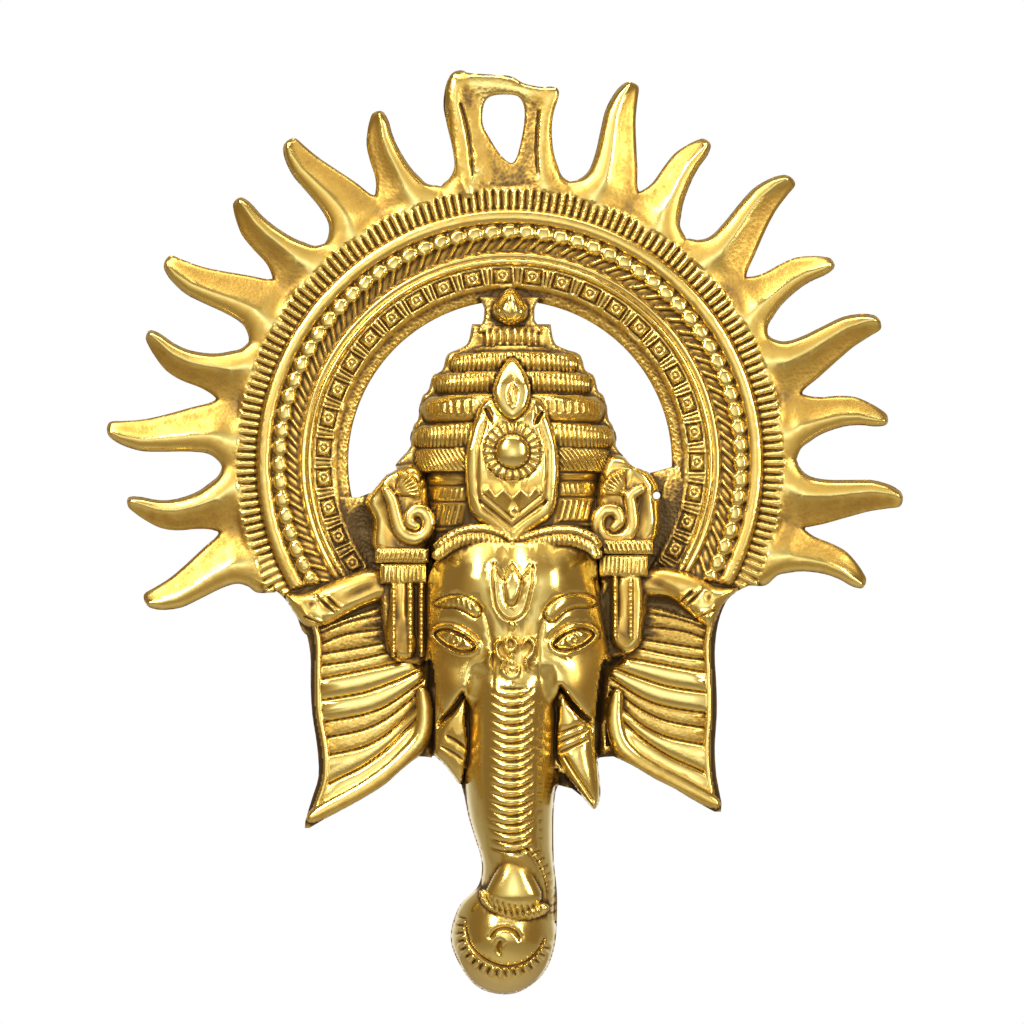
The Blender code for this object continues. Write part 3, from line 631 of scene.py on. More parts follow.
height[win][s > 0] = form[s > 0]
stipple[win][s > 0] = 0
drop_leaf = [(0.5, -63.6), (2.6, -65.6), (4.3, -68.8), (4.9, -72), (4.2, -75.2), (2.4, -77.6), (0.6, -78.6),
             (-1.2, -77.6), (-3.2, -75.2), (-4.1, -72), (-3.4, -68.8), (-1.6, -65.6)]
leaf_win, leaf_s = region(outline_of(drop_leaf, 4))
leaf_form = np.interp(Z[leaf_win], [-79, -70, -64], [19.4, 18.0, 14.4]) + 1.2 * shoulder(leaf_s, 2.2)
height[leaf_win][leaf_s > 0] = leaf_form[leaf_s > 0]
height[leaf_win][(leaf_s <= 0) & (leaf_s > -0.45)] -= 0.6

print("crest stands", round(float(form[s > 0].max()), 1), "mm off the wall")

# %% Boss and engraving
boss_win = window([(0.6, -86.3)], 8)
boss_x, boss_z = X[boss_win] - 0.6, Z[boss_win] + 86.3
b = np.hypot(boss_x, boss_z)
around = np.arctan2(boss_z, boss_x)
dish = (b < 7.2) & (b >= 4.2)
part = height[boss_win]
part[dish] = (19.7 + 0.3 * np.cos(around * 22))[dish]
part[(b >= 6.9) & (b < 7.3)] -= 0.5
part[b < 4.2] = (18.9 + 3.0 * hump(b / 4.7))[b < 4.2]
ring_groove = np.abs(b - 4.3) < 0.25
part[ring_groove] = np.minimum(part[ring_groove], 19.4)

stroke(curve([(0.6, -69.8), (1.5, -72.4), (0.7, -75.2), (-0.5, -72.6), (0.6, -69.8)]), 0.35, -0.45, 1.0)
for width, rise, taper, *line in (
        (0.6, -1.4, 0.6, (-5.9, -76), (-4.4, -79)),
        (0.6, -1.4, 0.6, (7.8, -76.8), (6.2, -79.6)),
        (0.5, -0.7, 0.9, (-7.2, -98.3), (0.5, -104.6), (8.8, -98.3)),
        (0.32, -0.4, 0.9, (-6.6, -96.4), (0.5, -102.4), (8, -96.4)),
        (0.38, 0.5, 0.9, (-6.8, -96.8), (-5.2, -95.2), (-3.6, -97.6), (-1.6, -95.6), (0.5, -97.8), (2.6, -95.6),
         (4.6, -97.6), (6.2, -95.2), (7.8, -96.8))):
    stroke(line, width, rise, taper)
stroke(curve([(1, -99.9), (2, -101), (1, -102), (0, -101), (1, -99.9)]), 0.35, 0.45, 1.0)
print("boss stands", round(float(height[boss_win].max()), 1), "mm off the wall")

# %% [markdown]
# ## The headband
# A narrow band of small cells arches over each half of the brow. Each cell is a bead between two thin cords.

# %% Headband


def beads(points, pitch, radius, rise):
    """Small round beads at even steps along a line."""
    line = curve(points, 8)
    steps = [0.0]
    for a, b in zip(line, line[1:]):
        steps.append(steps[-1] + math.dist(a, b))
    for at in np.arange(pitch / 2, steps[-1], pitch):
        x = np.interp(at, steps, [p[0] for p in line])
        z = np.interp(at, steps, [p[1] for p in line])
        win = window([(x, z)], radius + 0.3)
        height[win] += rise * hump(np.hypot(X[win] - x, Z[win] - z) / radius)


def offset(points, dx, dz):
    """The points moved to the side and up."""
    return [(x + dx, z + dz) for x, z in points]


brow_bands = [[(-17.6, -111.4), (-13.5, -108.6), (-9, -107.4), (-4, -108), (0.2, -110.4)],
              [(1, -110.4), (5.9, -108.8), (10.6, -107.8), (15.4, -107.9), (19.6, -109.6), (21, -111.2)]]
for band_line in brow_bands:
    line = curve(band_line, 4)
    bar(line, 1.35, 21.0, 0.9, 0.55)
    bar(offset(line, 0.2, 2.3), 1.15, 19.6, 0.9, 0.5)
    for (ax, az), (bx, bz) in zip(line, line[1:]):
        mx, mz = 0.5 * (ax + bx), 0.5 * (az + bz)
        stroke([(mx, mz + 1.1), (mx, mz - 1.1)], 0.3, -0.55, 1.0)
    beads(offset(band_line, 0.2, 2.5), 1.15, 0.5, 0.45)
print(len(brow_bands), "bands over the brow")


# %% [markdown]
# ## The face
# The face is a dome, wide at the cheeks, with two lobes on the forehead as an elephant has. Its plan was taken
# at nine levels: how far it reaches to the left and right, and how full it is. Each level is a full round
# arch that starts nine millimetres off the wall.

# %% Face dome
HEAD_DEPTH = 24.4
HEAD_EDGE = 9.0
HEAD_TOP = [(-9, -108.4), (-13.6, -109.6), (-17.8, -112.4)], [(21, -112.6), (15.6, -109), (10.6, -108.6)]
# Each row: level, left side, right side, fullness.
HEAD_ROWS = [(-106.0, -19.8, 21.2, 0.84), (-112.0, -19.8, 21.2, 0.92), (-118.0, -20.0, 21.5, 1.0),
             (-125.0, -20.3, 22.4, 1.0), (-132.0, -20.4, 23.6, 0.98), (-139.0, -21.0, 24.9, 0.97),
             (-146.0, -20.3, 24.0, 0.98), (-152.0, -17.6, 21.0, 1.0), (-158.0, -12.5, 13.5, 0.95)]


def levels_of(table, z):
    """The table's columns at the levels z, run smoothly from row to row."""
    rows_up = table[::-1]
    out = []
    for column in range(1, len(table[0])):
        fine = curve([(row[0], row[column]) for row in rows_up], 6)
        out.append(np.interp(z, [p[0] for p in fine], [p[1] for p in fine]))
    return out


face_line = curve(HEAD_TOP[0] + [(row[1], row[0]) for row in HEAD_ROWS[2:-3]], 4)
face_line += [(-18.7, -150.2), (-17, -152.6), (-11.4, -144.6), (-8, -152), (8, -152), (12.2, -143.2)]
face_line += [(20.6, -153.2), (23.2, -149.6)]
face_line += curve([(row[2], row[0]) for row in HEAD_ROWS[2:-3][::-1]] + HEAD_TOP[1], 4)
win, s = region(face_line, 1)
x, z = X[win], Z[win]
left, right, full = levels_of(HEAD_ROWS, z)
u = (x - 0.5 * (left + right)) / (0.5 * (right - left))
form = HEAD_EDGE * full + (HEAD_DEPTH - HEAD_EDGE) * full * np.maximum(0, 1 - np.abs(u) ** 2.3) ** 0.56


def hill(x, z, rx, rz):
    """A soft round hill: 1 in its middle, fading over rx to the sides and rz up and down."""
    return np.exp(-((x / rx) ** 2) - (z / rz) ** 2)


LOBES = [(1.1, -9.3, -115.5, 6, 5.5), (1.1, 10.9, -115.5, 6, 5.5), (-0.9, 0.6, -113, 2.4, 6)]
EYE_HOLLOWS = [(-1.2, -13.2, -132.5, 6.5, 4.2), (-1.2, 15.2, -132.5, 6.5, 4.2)]
CHEEKS = [(0.9, -14.5, -142.5, 4.5, 4.5), (0.9, 17, -141.5, 4.5, 4.5)]
for rise, cx, cz, rx, rz in LOBES + EYE_HOLLOWS + CHEEKS:
    form += rise * hill(x - cx, z - cz, rx, rz)
form -= 2.2 * (1 - shoulder(s, 1.6)) * (z < -113)
lay(win, form, s > 0, s)
stipple[win][s > 0] = 0
print("face stands", round(float(form[s > 0].max()), 1), "mm off the wall")

# %% [markdown]
# ## Brows and eyes
# The brows are pointed leaves in relief with their thick ends at the nose. The eyes are almond balls between
# two lids, and each lid is a thin bar that follows the ball's edge.

# %% Brows and eyes
brows = [[(-18.6, -123.4), (-16.3, -121.9), (-13.5, -121.2), (-10.5, -121.8), (-8, -123.2), (-7, -125.2),
          (-8.2, -126.4), (-10.4, -125.3), (-13, -124.2), (-16, -124)],
         [(8.4, -126.2), (9, -124.3), (11, -122.4), (14.2, -121.2), (18, -120.9), (21.6, -122.6),
          (19.8, -123.9), (16.4, -124.1), (13.2, -125.2), (10.3, -127.6)]]
for brow in brows:
    line = outline_of(brow)
    win, s = region(line)
    part = height[win]
    part[s > 0] += (1.35 * shoulder(s, 1.2))[s > 0]
    part[(s <= 0) & (s > -0.5)] -= 0.35

for x in np.arange(-17.2, -8.5, 1.25):
    stroke([(x, -122.2 - 0.05 * (x + 13) ** 2), (x + 0.25, -124.0 - 0.03 * (x + 13) ** 2)], 0.28, -0.4, 1.0)

for cx, cz, rx, rz, tilt in ((-13.3, -132.1, 4.9, 2.5, 0.28), (15.4, -131.9, 4.9, 2.5, -0.22)):
    almond = []
    for i in range(24):
        a = 2 * math.pi * i / 24
        ex, ez = rx * math.cos(a), rz * math.copysign(abs(math.sin(a)) ** 1.4, math.sin(a))
        almond.append((cx + ex - tilt * ez, cz + ez - tilt * ex))
    win, s = region(almond, 2)
    part = height[win]
    part[s > 0] += (-0.9 + 1.9 * shoulder(s, 2.3))[s > 0]
    part += 0.7 * hump((s + 0.75) / 0.6)
    part -= 0.75 * hump((s - 0.05) / 0.42)
    part -= 0.35 * hump((s + 1.7) / 0.4) * (Z[win] > cz)
    iris = np.hypot(X[win] - cx, Z[win] - cz)
    part -= 0.45 * hump((iris - 1.5) / 0.35) * (s > 0.2)
    part -= 0.5 * hump(iris / 0.6)
print("eye ball stands", round(float(part[s > 0].max()), 1), "mm off the wall")

# %% [markdown]
# ## The forehead mark and the small signs
# A forked mark runs down from the hair line, with a dot under it. Lower down the real piece has a written sign;
# here a few plain curls and dots of the same size take its place. All are thin standing lines.

# %% Forehead mark
mark = [(-4.1, -113.3), (-4.2, -117), (-4, -121), (-3.3, -124.3), (-1.2, -126.7), (1.2, -127), (3.4, -125.4),
        (4.6, -122), (5.3, -118), (5.6, -113.8)]
top_line = [(-4, -113.5), (-1.3, -117.5), (0.5, -113.6), (2.8, -117.3), (5.5, -114)]
tongue = [(-1.3, -117.5), (-1.3, -120), (-0.9, -122.9), (0.4, -123.7), (1.6, -122.7), (2.4, -120), (2.8, -117.3)]
for width, rise in ((0.85, 0.35), (0.4, -0.75)):
    stroke(curve(mark), width, rise, 0.9)
    stroke(top_line, width, rise, 0.9)
stroke(curve(tongue), 0.4, -0.7, 0.9)
stroke([(0.4, -128.3), (0.6, -128.5)], 0.95, 0.8, 1.0)
strokes((0.38, -0.45, (-7, -124), (-5.6, -127), (-4.7, -131), (-4.1, -137), (-4.2, -144)),
        (0.36, -0.4, (8.4, -126.5), (7.4, -130), (7, -135), (7.4, -141)))

curls = [
    [(0.3, -131.4), (1.5, -132.6), (0.9, -134.2), (-0.4, -134.6), (-1.2, -133.2), (-0.6, -131.8)],
    [(-2.4, -131.8), (-3.4, -133.6), (-2.8, -136), (-1.2, -137)],
    [(-1.2, -137), (-1.8, -139.4), (-0.2, -141), (1.8, -140.4), (2.2, -138.4)],
    [(3, -133.2), (4.4, -131.6), (5.8, -132.8), (5.4, -135.2), (4, -136.8), (4.4, -139.2)],
    [(-4.6, -135), (-5.2, -137.4), (-4.4, -139.6)],
]
for line in curls:
    stroke(curve(line), 0.6, 0.95, 0.7)
for z in (-135.8, -137.6, -139.0):
    stroke([(0.5, z), (0.6, z)], 0.55, 0.7, 1.0)
stroke([(0.4, -142.6), (0.5, -142.7)], 0.8, 0.8, 1.0)
for x in np.arange(-3.4, 6.4, 1.6):
    stroke([(x, -144.4), (x + 0.4, -144.5)], 0.5, 0.6, 1.0)
print(len(curls), "curls under the mark")

# %% [markdown]
# ## Tusks and cheeks
# The left tusk is the broken one, a short stump in its sheath. The right tusk is whole and runs down to a
# point. Both are rounded slabs with a few engraved lines across the sheath.

# %% Tusks


def tusk(rows, line):
    """A tusk from its rows (level, left, right, height) and its outline."""
    line = outline_of(line, 4)
    win, s = region(line)
    left, right, top = levels_of(rows, Z[win])
    u = (X[win] - 0.5 * (left + right)) / (0.5 * np.maximum(right - left, 1))
    form = top * (0.66 + 0.34 * hump(u)) - 1.2 * (1 - shoulder(s, 1.0))
    lay(win, form, s > 0, s)
    stipple[win][s > 0] = 0


tusk([(-143, -14.0, -7.0, 17.4), (-151, -17.6, -6.4, 17.6), (-158, -19.6, -6.0, 17.2), (-162, -17.5, -6.6, 16.6),
      (-166.6, -13.8, -8.0, 15.4)],
     [(-11.6, -144), (-15.5, -150.4), (-17.8, -153), (-19.3, -158.4), (-16.4, -161.6), (-13.6, -165.2),
      (-12.1, -166.9), (-10.4, -164.5), (-9.7, -159), (-10.2, -151)])
tusk([(-145, 9.0, 16.5, 17.8), (-152, 8.6, 20.4, 18.2), (-159, 9.4, 21.4, 17.8), (-166, 13.4, 22.2, 17.0),
      (-172.6, 18.8, 22.2, 15.2)],
     [(12.2, -144.5), (16.8, -150), (19.9, -153), (20.8, -158), (21.5, -164), (21.9, -169.4), (20.9, -172.7),
      (19.2, -172.1), (15.6, -167.2), (12.6, -163.2), (10.9, -159.5), (10.9, -153.5)])
for dz in (0, -2.1, -4.3):
    stroke([(11.0 + 0.25 * abs(dz), -155 + dz), (18.6, -151.9 + dz)], 0.45, -0.7, 0.8)
strokes((0.5, -0.8, (13.3, -160.3), (16, -164.6), (18.4, -168.2), (20.2, -171)),
        (0.45, -0.7, (-15.2, -155.2), (-13, -156.4), (-10.4, -158.4)),
        (0.4, -0.5, (-16.6, -157.8), (-13.6, -159.4), (-10.6, -161.6)),
        (0.8, -1.4, (-11.4, -145.5), (-14, -149.2), (-17.4, -152.4)),
        (0.8, -1.4, (12.2, -143.4), (15.8, -148.6), (20.4, -152.6)))
print("tusks down to -166.6 and -172.6 mm")

# %% [markdown]
# ## The trunk
# The trunk hangs from between the eyes. It's a half round like the face but narrower, and bright crescent
# folds cross its middle every 2.2 mm, thick at their left end and thin at the right.

# %% Trunk
TRUNK_DEPTH = 27.5
TRUNK_ROWS = [(-134.0, -8.0, 9.6, 0.80), (-139.0, -9.4, 11.2, 0.86), (-146.0, -10.8, 11.9, 0.93),
              (-155.0, -10.6, 11.4, 0.97), (-165.0, -11.0, 11.2, 1.0), (-175.0, -10.0, 10.6, 0.98),
              (-182.0, -8.2, 10.5, 0.94), (-188.0, -6.9, 11.0, 0.86), (-199.0, -7.8, 10.6, 0.66)]
trunk_line = [(-8.4, -137), (-10.6, -143), (-11.2, -150), (-10.4, -158), (-11.4, -164), (-11.8, -166.8),
              (-11, -170), (-10, -175), (-8.5, -180), (-7.2, -184), (-6.8, -188), (-8, -192), (-12, -196),
              (-14, -201), (-14.3, -205), (-13, -209), (-10, -214), (-6, -217), (0, -217.8), (5, -215.7), (9, -211.4),
              (11, -205), (11.4, -197), (11.3, -192), (10.6, -185), (10.5, -175), (11, -169), (11.8, -166),
              (11.3, -158), (12, -150), (11.5, -143), (9.4, -137)]
trunk_line = outline_of(trunk_line, 4)
win, s = region(trunk_line)
x, z = X[win], Z[win]
left, right, full = levels_of(TRUNK_ROWS, z)
u = (x - 0.5 * (left + right)) / (0.5 * (right - left))
form = 8.0 + (TRUNK_DEPTH * full - 8.0) * hump(np.clip(u, -1, 1) * 0.995)
form -= 1.4 * (1 - shoulder(s, 1.2)) * (z < -140)
form = np.maximum(form, np.where(z > -163, 15.0, 0))
FOLD_PITCH = 2.2
fold = (z + 145.0 - 0.055 * (x - 0.5) ** 2 - 0.03 * x) / FOLD_PITCH
phase = from_nearest(fold)
reach_x = 5.6 + 0.5 * np.sin(np.round(fold) * 2.4)
thick = np.clip(0.40 - 0.025 * (x + 1), 0.16, 0.46)
across = unit(1 - ((x - 0.4) / reach_x) ** 4)
in_folds = (z < -143.6) & (z > -183.6) & (np.abs(x - 0.4) < reach_x) & (s > 0)
folds = (0.95 * hump(phase / thick) - 0.75) * across
trunk_top = form + np.where(in_folds, folds, 0)
bridge = blend(0, 1, (-135.0 - z) / 13) * unit(s / 4.0 + unit((-146.0 - z) / 6))
part = height[win]
where = (s > 0) & (z > -200)
part[where] = (part + (trunk_top - part) * bridge)[where]
inner[win] = np.maximum(inner[win], s)
stipple[win][where & (z < -144)] = 0
gaps = in_folds & (np.abs(phase) > thick + 0.04) & (across > 0.3)
stipple[win][gaps] = 0.75
for at in range(16):
    z = -147 - FOLD_PITCH * at
    stroke([(6.9 + 0.25 * math.sin(at), z), (7.4, z)], 0.42, -0.45, 1.0)
print("trunk stands", round(float(trunk_top[s > 0].max()), 1), "mm off the wall")

strokes((0.38, -0.5, (-10.4, -146), (-10, -152), (-9.8, -159), (-10.6, -164), (-12, -166.8)),
        (0.4, -0.6, (12.4, -145.5), (11.2, -152), (11, -159), (12.8, -163), (15.6, -167), (19.2, -172)))

# %% [markdown]
# ## The curl and the sweet
# The trunk's tip curls round a ball. Above it sits a smooth dome, the sweet that the trunk holds. A ring of
# short teeth follows the inside of the curl. Balls and bars are laid one over another, from back to front.

# %% Curl
cx, cz, rx, rz = -1.5, -203.6, 12.8, 14.2
win = window([(cx - rx, cz - rz), (cx + rx, cz + rz)])
r = np.hypot((X[win] - cx) / rx, (Z[win] - cz) / rz)
where = (r < 1) & (inner[win] > 0)
lay(win, 5.0 + 17.4 * hump(r), where)
stipple[win][where] = 0
egg_win = window([(-7, -204), (8.6, -182.4)])
egg_z = Z[egg_win] + 193.5
wide = 6.9 * np.clip(1 - 0.055 * np.clip(egg_z, 0, 11), 0.3, 1)
egg = np.hypot((X[egg_win] - 0.8) / wide, egg_z / np.where(Z[egg_win] > -193.5, 10.6, 4.6))
lay(egg_win, 21.6 + 3.6 * hump(egg), egg < 1)
stipple[egg_win][egg < 1] = 0
sweet_band = [(-6.4, -193.6), (-4.2, -195.8), (0, -197.4), (4.6, -197.8), (8.2, -197)]
bar(curve(sweet_band), 1.9, 22.6, 0.6, 0.7)
hatch_line = curve(sweet_band, 3)
for (ax, az), (bx, bz) in zip(hatch_line, hatch_line[1:]):
    stroke([(ax - 0.3, az + 1.5), (ax + 0.5, az - 1.5)], 0.34, -0.6, 1.0)
strokes((0.55, -0.9, (-4.8, -204), (-3.4, -202.4), (-1, -201.8), (1.2, -202.6), (2.4, -204.2)),
        (0.55, -1.1, (-10.6, -201.6), (-9.6, -205.6), (-6.4, -209), (-1.6, -211), (3.2, -210.2), (6.4, -207.6),
         (8.2, -204.4)),
        (0.4, -0.5, (-9.4, -213.9), (-4.6, -216), (0, -216.6), (5, -215.2)),
        (0.6, -0.9, (-2.3, -205), (-2.9, -206.4), (-2.6, -207.8)))
for i in range(17):
    a = math.radians(-196 + 11.2 * i)
    dx, dz = math.cos(a), math.sin(a)
    x, z = -1.3 + 10 * dx, -202.8 + 9 * dz
    stroke([(x, z), (x + 1.9 * dx, z + 1.9 * dz)], 0.62, 1.05, 0.3)
    x, z = x + 0.9 * dz, z - 0.9 * dx
    stroke([(x, z), (x + 1.5 * dx, z + 1.5 * dz)], 0.35, -0.5)
for i in range(9):
    z = -183.5 - 1.8 * i
    x = 4.6 + 4.4 * math.sin(math.pi * (0.5 * i / 8))
    stroke([(x + 0.9, z - 0.3), (x + 2.5, z + 0.5)], 0.42, -0.7, 0.9)
strokes((0.4, -0.7, (4, -182.4), (6.6, -185.6), (8.4, -190.4), (9.2, -196)))
print("sweet stands", round(float(height[egg_win][egg < 1].max()), 1), "mm off the wall")

# %% [markdown]
# ## The ears
# Each ear is a thin leaf under a turned-over top bar. Its ribs fan down and inwards from the rolled rim, so
# they're round bars laid one above another, and the ground between them was left rough and dark.

# %% Ears
left_ear = [(-52.4, -119.6), (-53.3, -121.8), (-51.8, -124.9), (-50, -128), (-48.4, -135), (-48.3, -143),
            (-47.9, -150), (-46.7, -158), (-46.4, -165), (-48, -170.5), (-49.7, -177.6), (-45, -175.4), (-40, -172.8),
            (-35, -170), (-30, -166.8), (-26, -163.2), (-22, -160.2), (-18, -158.6), (-18.5, -138), (-22, -136),
            (-29, -120), (-34, -116.4)]
right_ear = [(53.6, -118.8), (54.4, -120.4), (52.3, -122.8), (50.4, -128), (49.6, -135), (50, -143), (50.1, -150),
             (49.6, -158), (50, -165), (51.1, -173.6), (45, -171.1), (40, -168.1), (35, -165.6), (30, -162.6),
             (25, -160.2), (20.4, -158.6), (22, -138), (25, -136), (31, -120), (34, -115.6)]
for ear_line in (left_ear, right_ear):
    slab(outline_of(ear_line, 3), 5.4, 4.2, 0.9, rough=0.6, edge=True)

print("ears up to", round(max(z for x, z in left_ear + right_ear), 1), "mm")

# %% Folds of the ears
FOLD_LINES = [
    [(-50, -131), (-40, -127), (-30, -124), (-20, -124)],
    [(-50, -132.4), (-40.1, -127.9), (-30, -125.8), (-20, -125)],
    [(-50, -134.4), (-45.7, -132.9), (-39.7, -130.6), (-30.4, -129.4), (-20, -129)],
    [(-50, -136.3), (-45.6, -135.4), (-37.8, -134.1), (-30, -132.7), (-20, -131)],
    [(-50, -138.8), (-44.4, -138), (-37.8, -137), (-30.8, -135.4), (-20, -133)],
    [(-50, -142.4), (-44.8, -141.3), (-37.8, -139.9), (-30.8, -138.4), (-26.2, -137.4), (-18, -135)],
    [(-50, -147.2), (-44, -146.3), (-35.9, -144.9), (-29.3, -142.6), (-24.6, -140.6), (-18, -137)],
    [(-50, -152.8), (-45.5, -151.9), (-35.9, -150.2), (-30, -148), (-23.8, -143.8), (-18, -139.5)],
    [(-50, -156.8), (-44.4, -155.6), (-35.9, -153.9), (-30, -151.1), (-25, -147.3), (-18, -141.5)],
    [(-50, -161.2), (-42.8, -159.7), (-35.9, -158.1), (-30, -155), (-24.6, -150), (-18, -143.5)],
    [(-50, -170), (-42.1, -165.9), (-35.9, -162.8), (-30, -158.5), (-25.4, -153.9), (-18, -146)],
    [(-50, -178), (-45.5, -174), (-33.9, -168.5), (-26.2, -162), (-22.7, -155), (-18, -149)],
]
FOLD_ROUGH = (0.9, 0.8, 0.75, 0.55, 0.35, 0, 0, 0.5, 0.45, 0.15, 0)
FOLD_RISE = (0.5, 0.8, 0.9, 1.0, 1.2, 1.9, 1.7, 1.0, 1.1, 1.6, 1.7)
for side, ear_line in ((-1, left_ear), (1, right_ear)):
    win = window(ear_line, 0)
    x, z = X[win], Z[win]
    s = depth_in(outline_of(ear_line, 3), win)
    if side > 0:
        x, z = -(x - 1.6) / 1.02, -129 + (z + 128.4) / 0.935
    fold_z = [np.interp(x, *zip(*curve(line, 4))) for line in FOLD_LINES]
    part, rough_part = height[win], stipple[win]
    for upper, lower, rough, rise in zip(fold_z, fold_z[1:], FOLD_ROUGH, FOLD_RISE):
        t = (upper - z) / np.maximum(upper - lower, 0.2)
        where = (t >= 0) & (t < 1) & (s > 0.4)
        swell = 6.0 + rise * (0.4 + 0.6 * hump(np.clip(2.0 * t**0.8 - 1, -1, 1) * 0.99))
        part[where] = swell[where]
        rough_part[where] = 0.6 * rough
        wash_and_shade[win][where] = 0.34 * rough
    for level in fold_z[1:]:
        part -= 0.55 * hump((z - level) / 0.27) * (s > 2.2)
    edge = (s > 0) & (s < 2.6)
    part[edge] = (4.2 + 3.0 * unit(s / 2.6))[edge]
    wash_and_shade[win][edge] = (0.62 * unit(2.6 - s))[edge]

print(len(FOLD_RISE), "folds in each ear")

# %% Rims, hems and top bars
rims = [[(-47.6, -127), (-46.4, -133), (-46.5, -142), (-46.2, -150), (-44.8, -158), (-44.6, -165), (-46.2, -170.6),
            (-48.2, -175.6)],
        [(49, -127), (47.8, -133), (48.1, -142), (48.2, -150), (47.7, -158), (48.1, -165), (49.4, -172)]]
hems = [[(-48.2, -175), (-44, -172.7), (-39, -170.2), (-34, -167.3), (-29.2, -163.8), (-25, -159.8),
         (-21.6, -155.4), (-20.6, -150), (-21.2, -144.5)],
        [(49.8, -171.6), (44, -168.5), (39, -165.9), (34, -163.3), (29.4, -160.2), (26.6, -156.6), (25.4, -151),
         (25.9, -145)]]
for line in rims:
    bar(curve(line), 0.85, 7.7, 0.8, 0.8)
for line in hems:
    bar(curve(line), 2.5, 8.7, 0.5, 0.8)

left_bar = [(-54.4, -121.4), (-50, -120.8), (-44.2, -118.4), (-38, -115.9), (-34, -114.9), (-31.2, -115.6),
            (-29.3, -118.9), (-29.6, -121.6), (-35, -123.6), (-40, -126.1), (-45, -128.6), (-49.8, -128.4)]
right_bar = [(55.2, -119.6), (50, -119.2), (46, -117), (40, -114.9), (35, -114.6), (31, -117), (30.9, -121.2),
             (38, -121.6), (43, -125.1), (48, -129.1), (49.8, -127.4), (51.2, -124), (53, -121.8)]
for bar_line, side, over in ((left_bar, -1, 0), (right_bar, 1, 1.6)):
    slab(outline_of(bar_line, 4), 8.9, 5.6, 3.2, edge=True)
    for cx, cz, rx, rz, lean in ((36, -120.2, 4.0, 1.2, 0.4), (44, -123.4, 1.5, 1.5, 0), (48.2, -123.3, 0.9, 1.0, 0)):
        win = window([(side * cx, cz + over)], 9)
        x, z = X[win] - side * cx, Z[win] - cz - over
        z = z + side * lean * x
        height[win] -= 0.55 * hill(x, z, rx, rz)
        wash_and_shade[win] = np.maximum(wash_and_shade[win], 0.75 * hill(x, z, 1.2 * rx, 1.2 * rz))
    for x0, z0, x1, z1 in ((46.4, -121, 42.3, -124.8), (43.7, -121.3, 40.8, -124.0), (49.4, -125.8, 44.6, -128.0)):
        stroke([(side * x0, z0 + over), (side * x1, z1 + over)], 0.34, 0.5, 0.8)
        stroke([(side * (x0 + 0.4), z0 + over - 0.5), (side * (x1 + 0.4), z1 + over - 0.5)], 0.3, -0.5, 0.8)
print("top bars reach", left_bar[0][0], "and", right_bar[0][0], "mm")

# %% [markdown]
# ## Scrolls, capitals and pendants
# Beside the crown's foot hang the side ornaments: a comb-like fan, a scroll, a flat capital with hatching and a
# pendant with rows of beads. The two sides mirror each other roughly, as hand work does.

# %% Side ornaments
# A fan is its centre, its size and its first and last bearing. Capital and neck are left, right, top and bottom.
side_work = {
    -1: {
        "body": [(-22, -90.6), (-25, -89.6), (-30, -91), (-33.4, -95.2), (-35, -99), (-33.2, -103), (-32.6, -110.4),
                 (-20.4, -110.4), (-20, -96)],
        "fan": (-28.0, -96.8, 6.3, -8, 84),
        "curl": [(-30, -95.6), (-28.5, -98.6), (-27.6, -102.6), (-26.2, -106), (-23.2, -107.4), (-20.4, -105.8),
                 (-19.8, -102.8), (-21.6, -100.6), (-23.9, -101.2), (-24.4, -103.4), (-22.9, -104.4)],
        "tongue": [(-28, -118), (-29.9, -130), (-29.2, -133.6), (-26.6, -136.4), (-23.4, -135.8), (-22.8, -131.6),
                   (-24.9, -126), (-24.9, -118)],
        "capital": (-32.6, -19.6, -109.8, -113.3),
        "neck": (-31.4, -20.2, -113.5, -118.3),
        "pendant": [(-30.6, -118), (-30.5, -132), (-28.8, -136.2), (-25.6, -137.6), (-20.2, -136.4), (-20.2, -118)],
        "columns": (-28.2, -24.2, -21.4),
    },
    1: {
        "body": [(23, -88.4), (26, -87.2), (31, -88.9), (34.6, -92.6), (36, -97), (34.6, -108.4), (21.6, -108.4),
                 (21.2, -95)],
        "fan": (28.2, -97.0, 6.4, 92, 184),
        "curl": [(31.8, -95.4), (29.2, -97.2), (29.5, -100.8), (29.6, -104.4), (27.9, -107.2), (24.8, -107.8),
                 (21.8, -106.2), (21.2, -103), (22.8, -100.7), (25.5, -100.7), (26.6, -103), (25.2, -104.8)],
        "tongue": [(26.4, -116.8), (26.2, -126), (24.4, -131), (26, -134), (28.6, -135.2), (31.2, -133.2),
                   (32.0, -129.6), (31.8, -116.8)],
        "capital": (21.0, 34.6, -107.8, -111.2),
        "neck": (21.6, 33.4, -111.4, -116.7),
        "pendant": [(22.2, -116.4), (32.6, -116.4), (32.4, -130), (31, -133.6), (28.2, -135.6), (22.4, -134.6)],
        "columns": (25.5, 29.3),
    },
}
print("ornaments", [len(work["columns"]) for work in side_work.values()], "columns of beads")

# %% Laying the ornaments


def wash_and_shade_tint(points, amount, soft):
    """Darkens an area with brown wash and painted shade: 0 is bare metal, 1 is dark."""
    win, s = region(points)
    wash_and_shade[win] = np.maximum(wash_and_shade[win], amount * unit(s / soft))


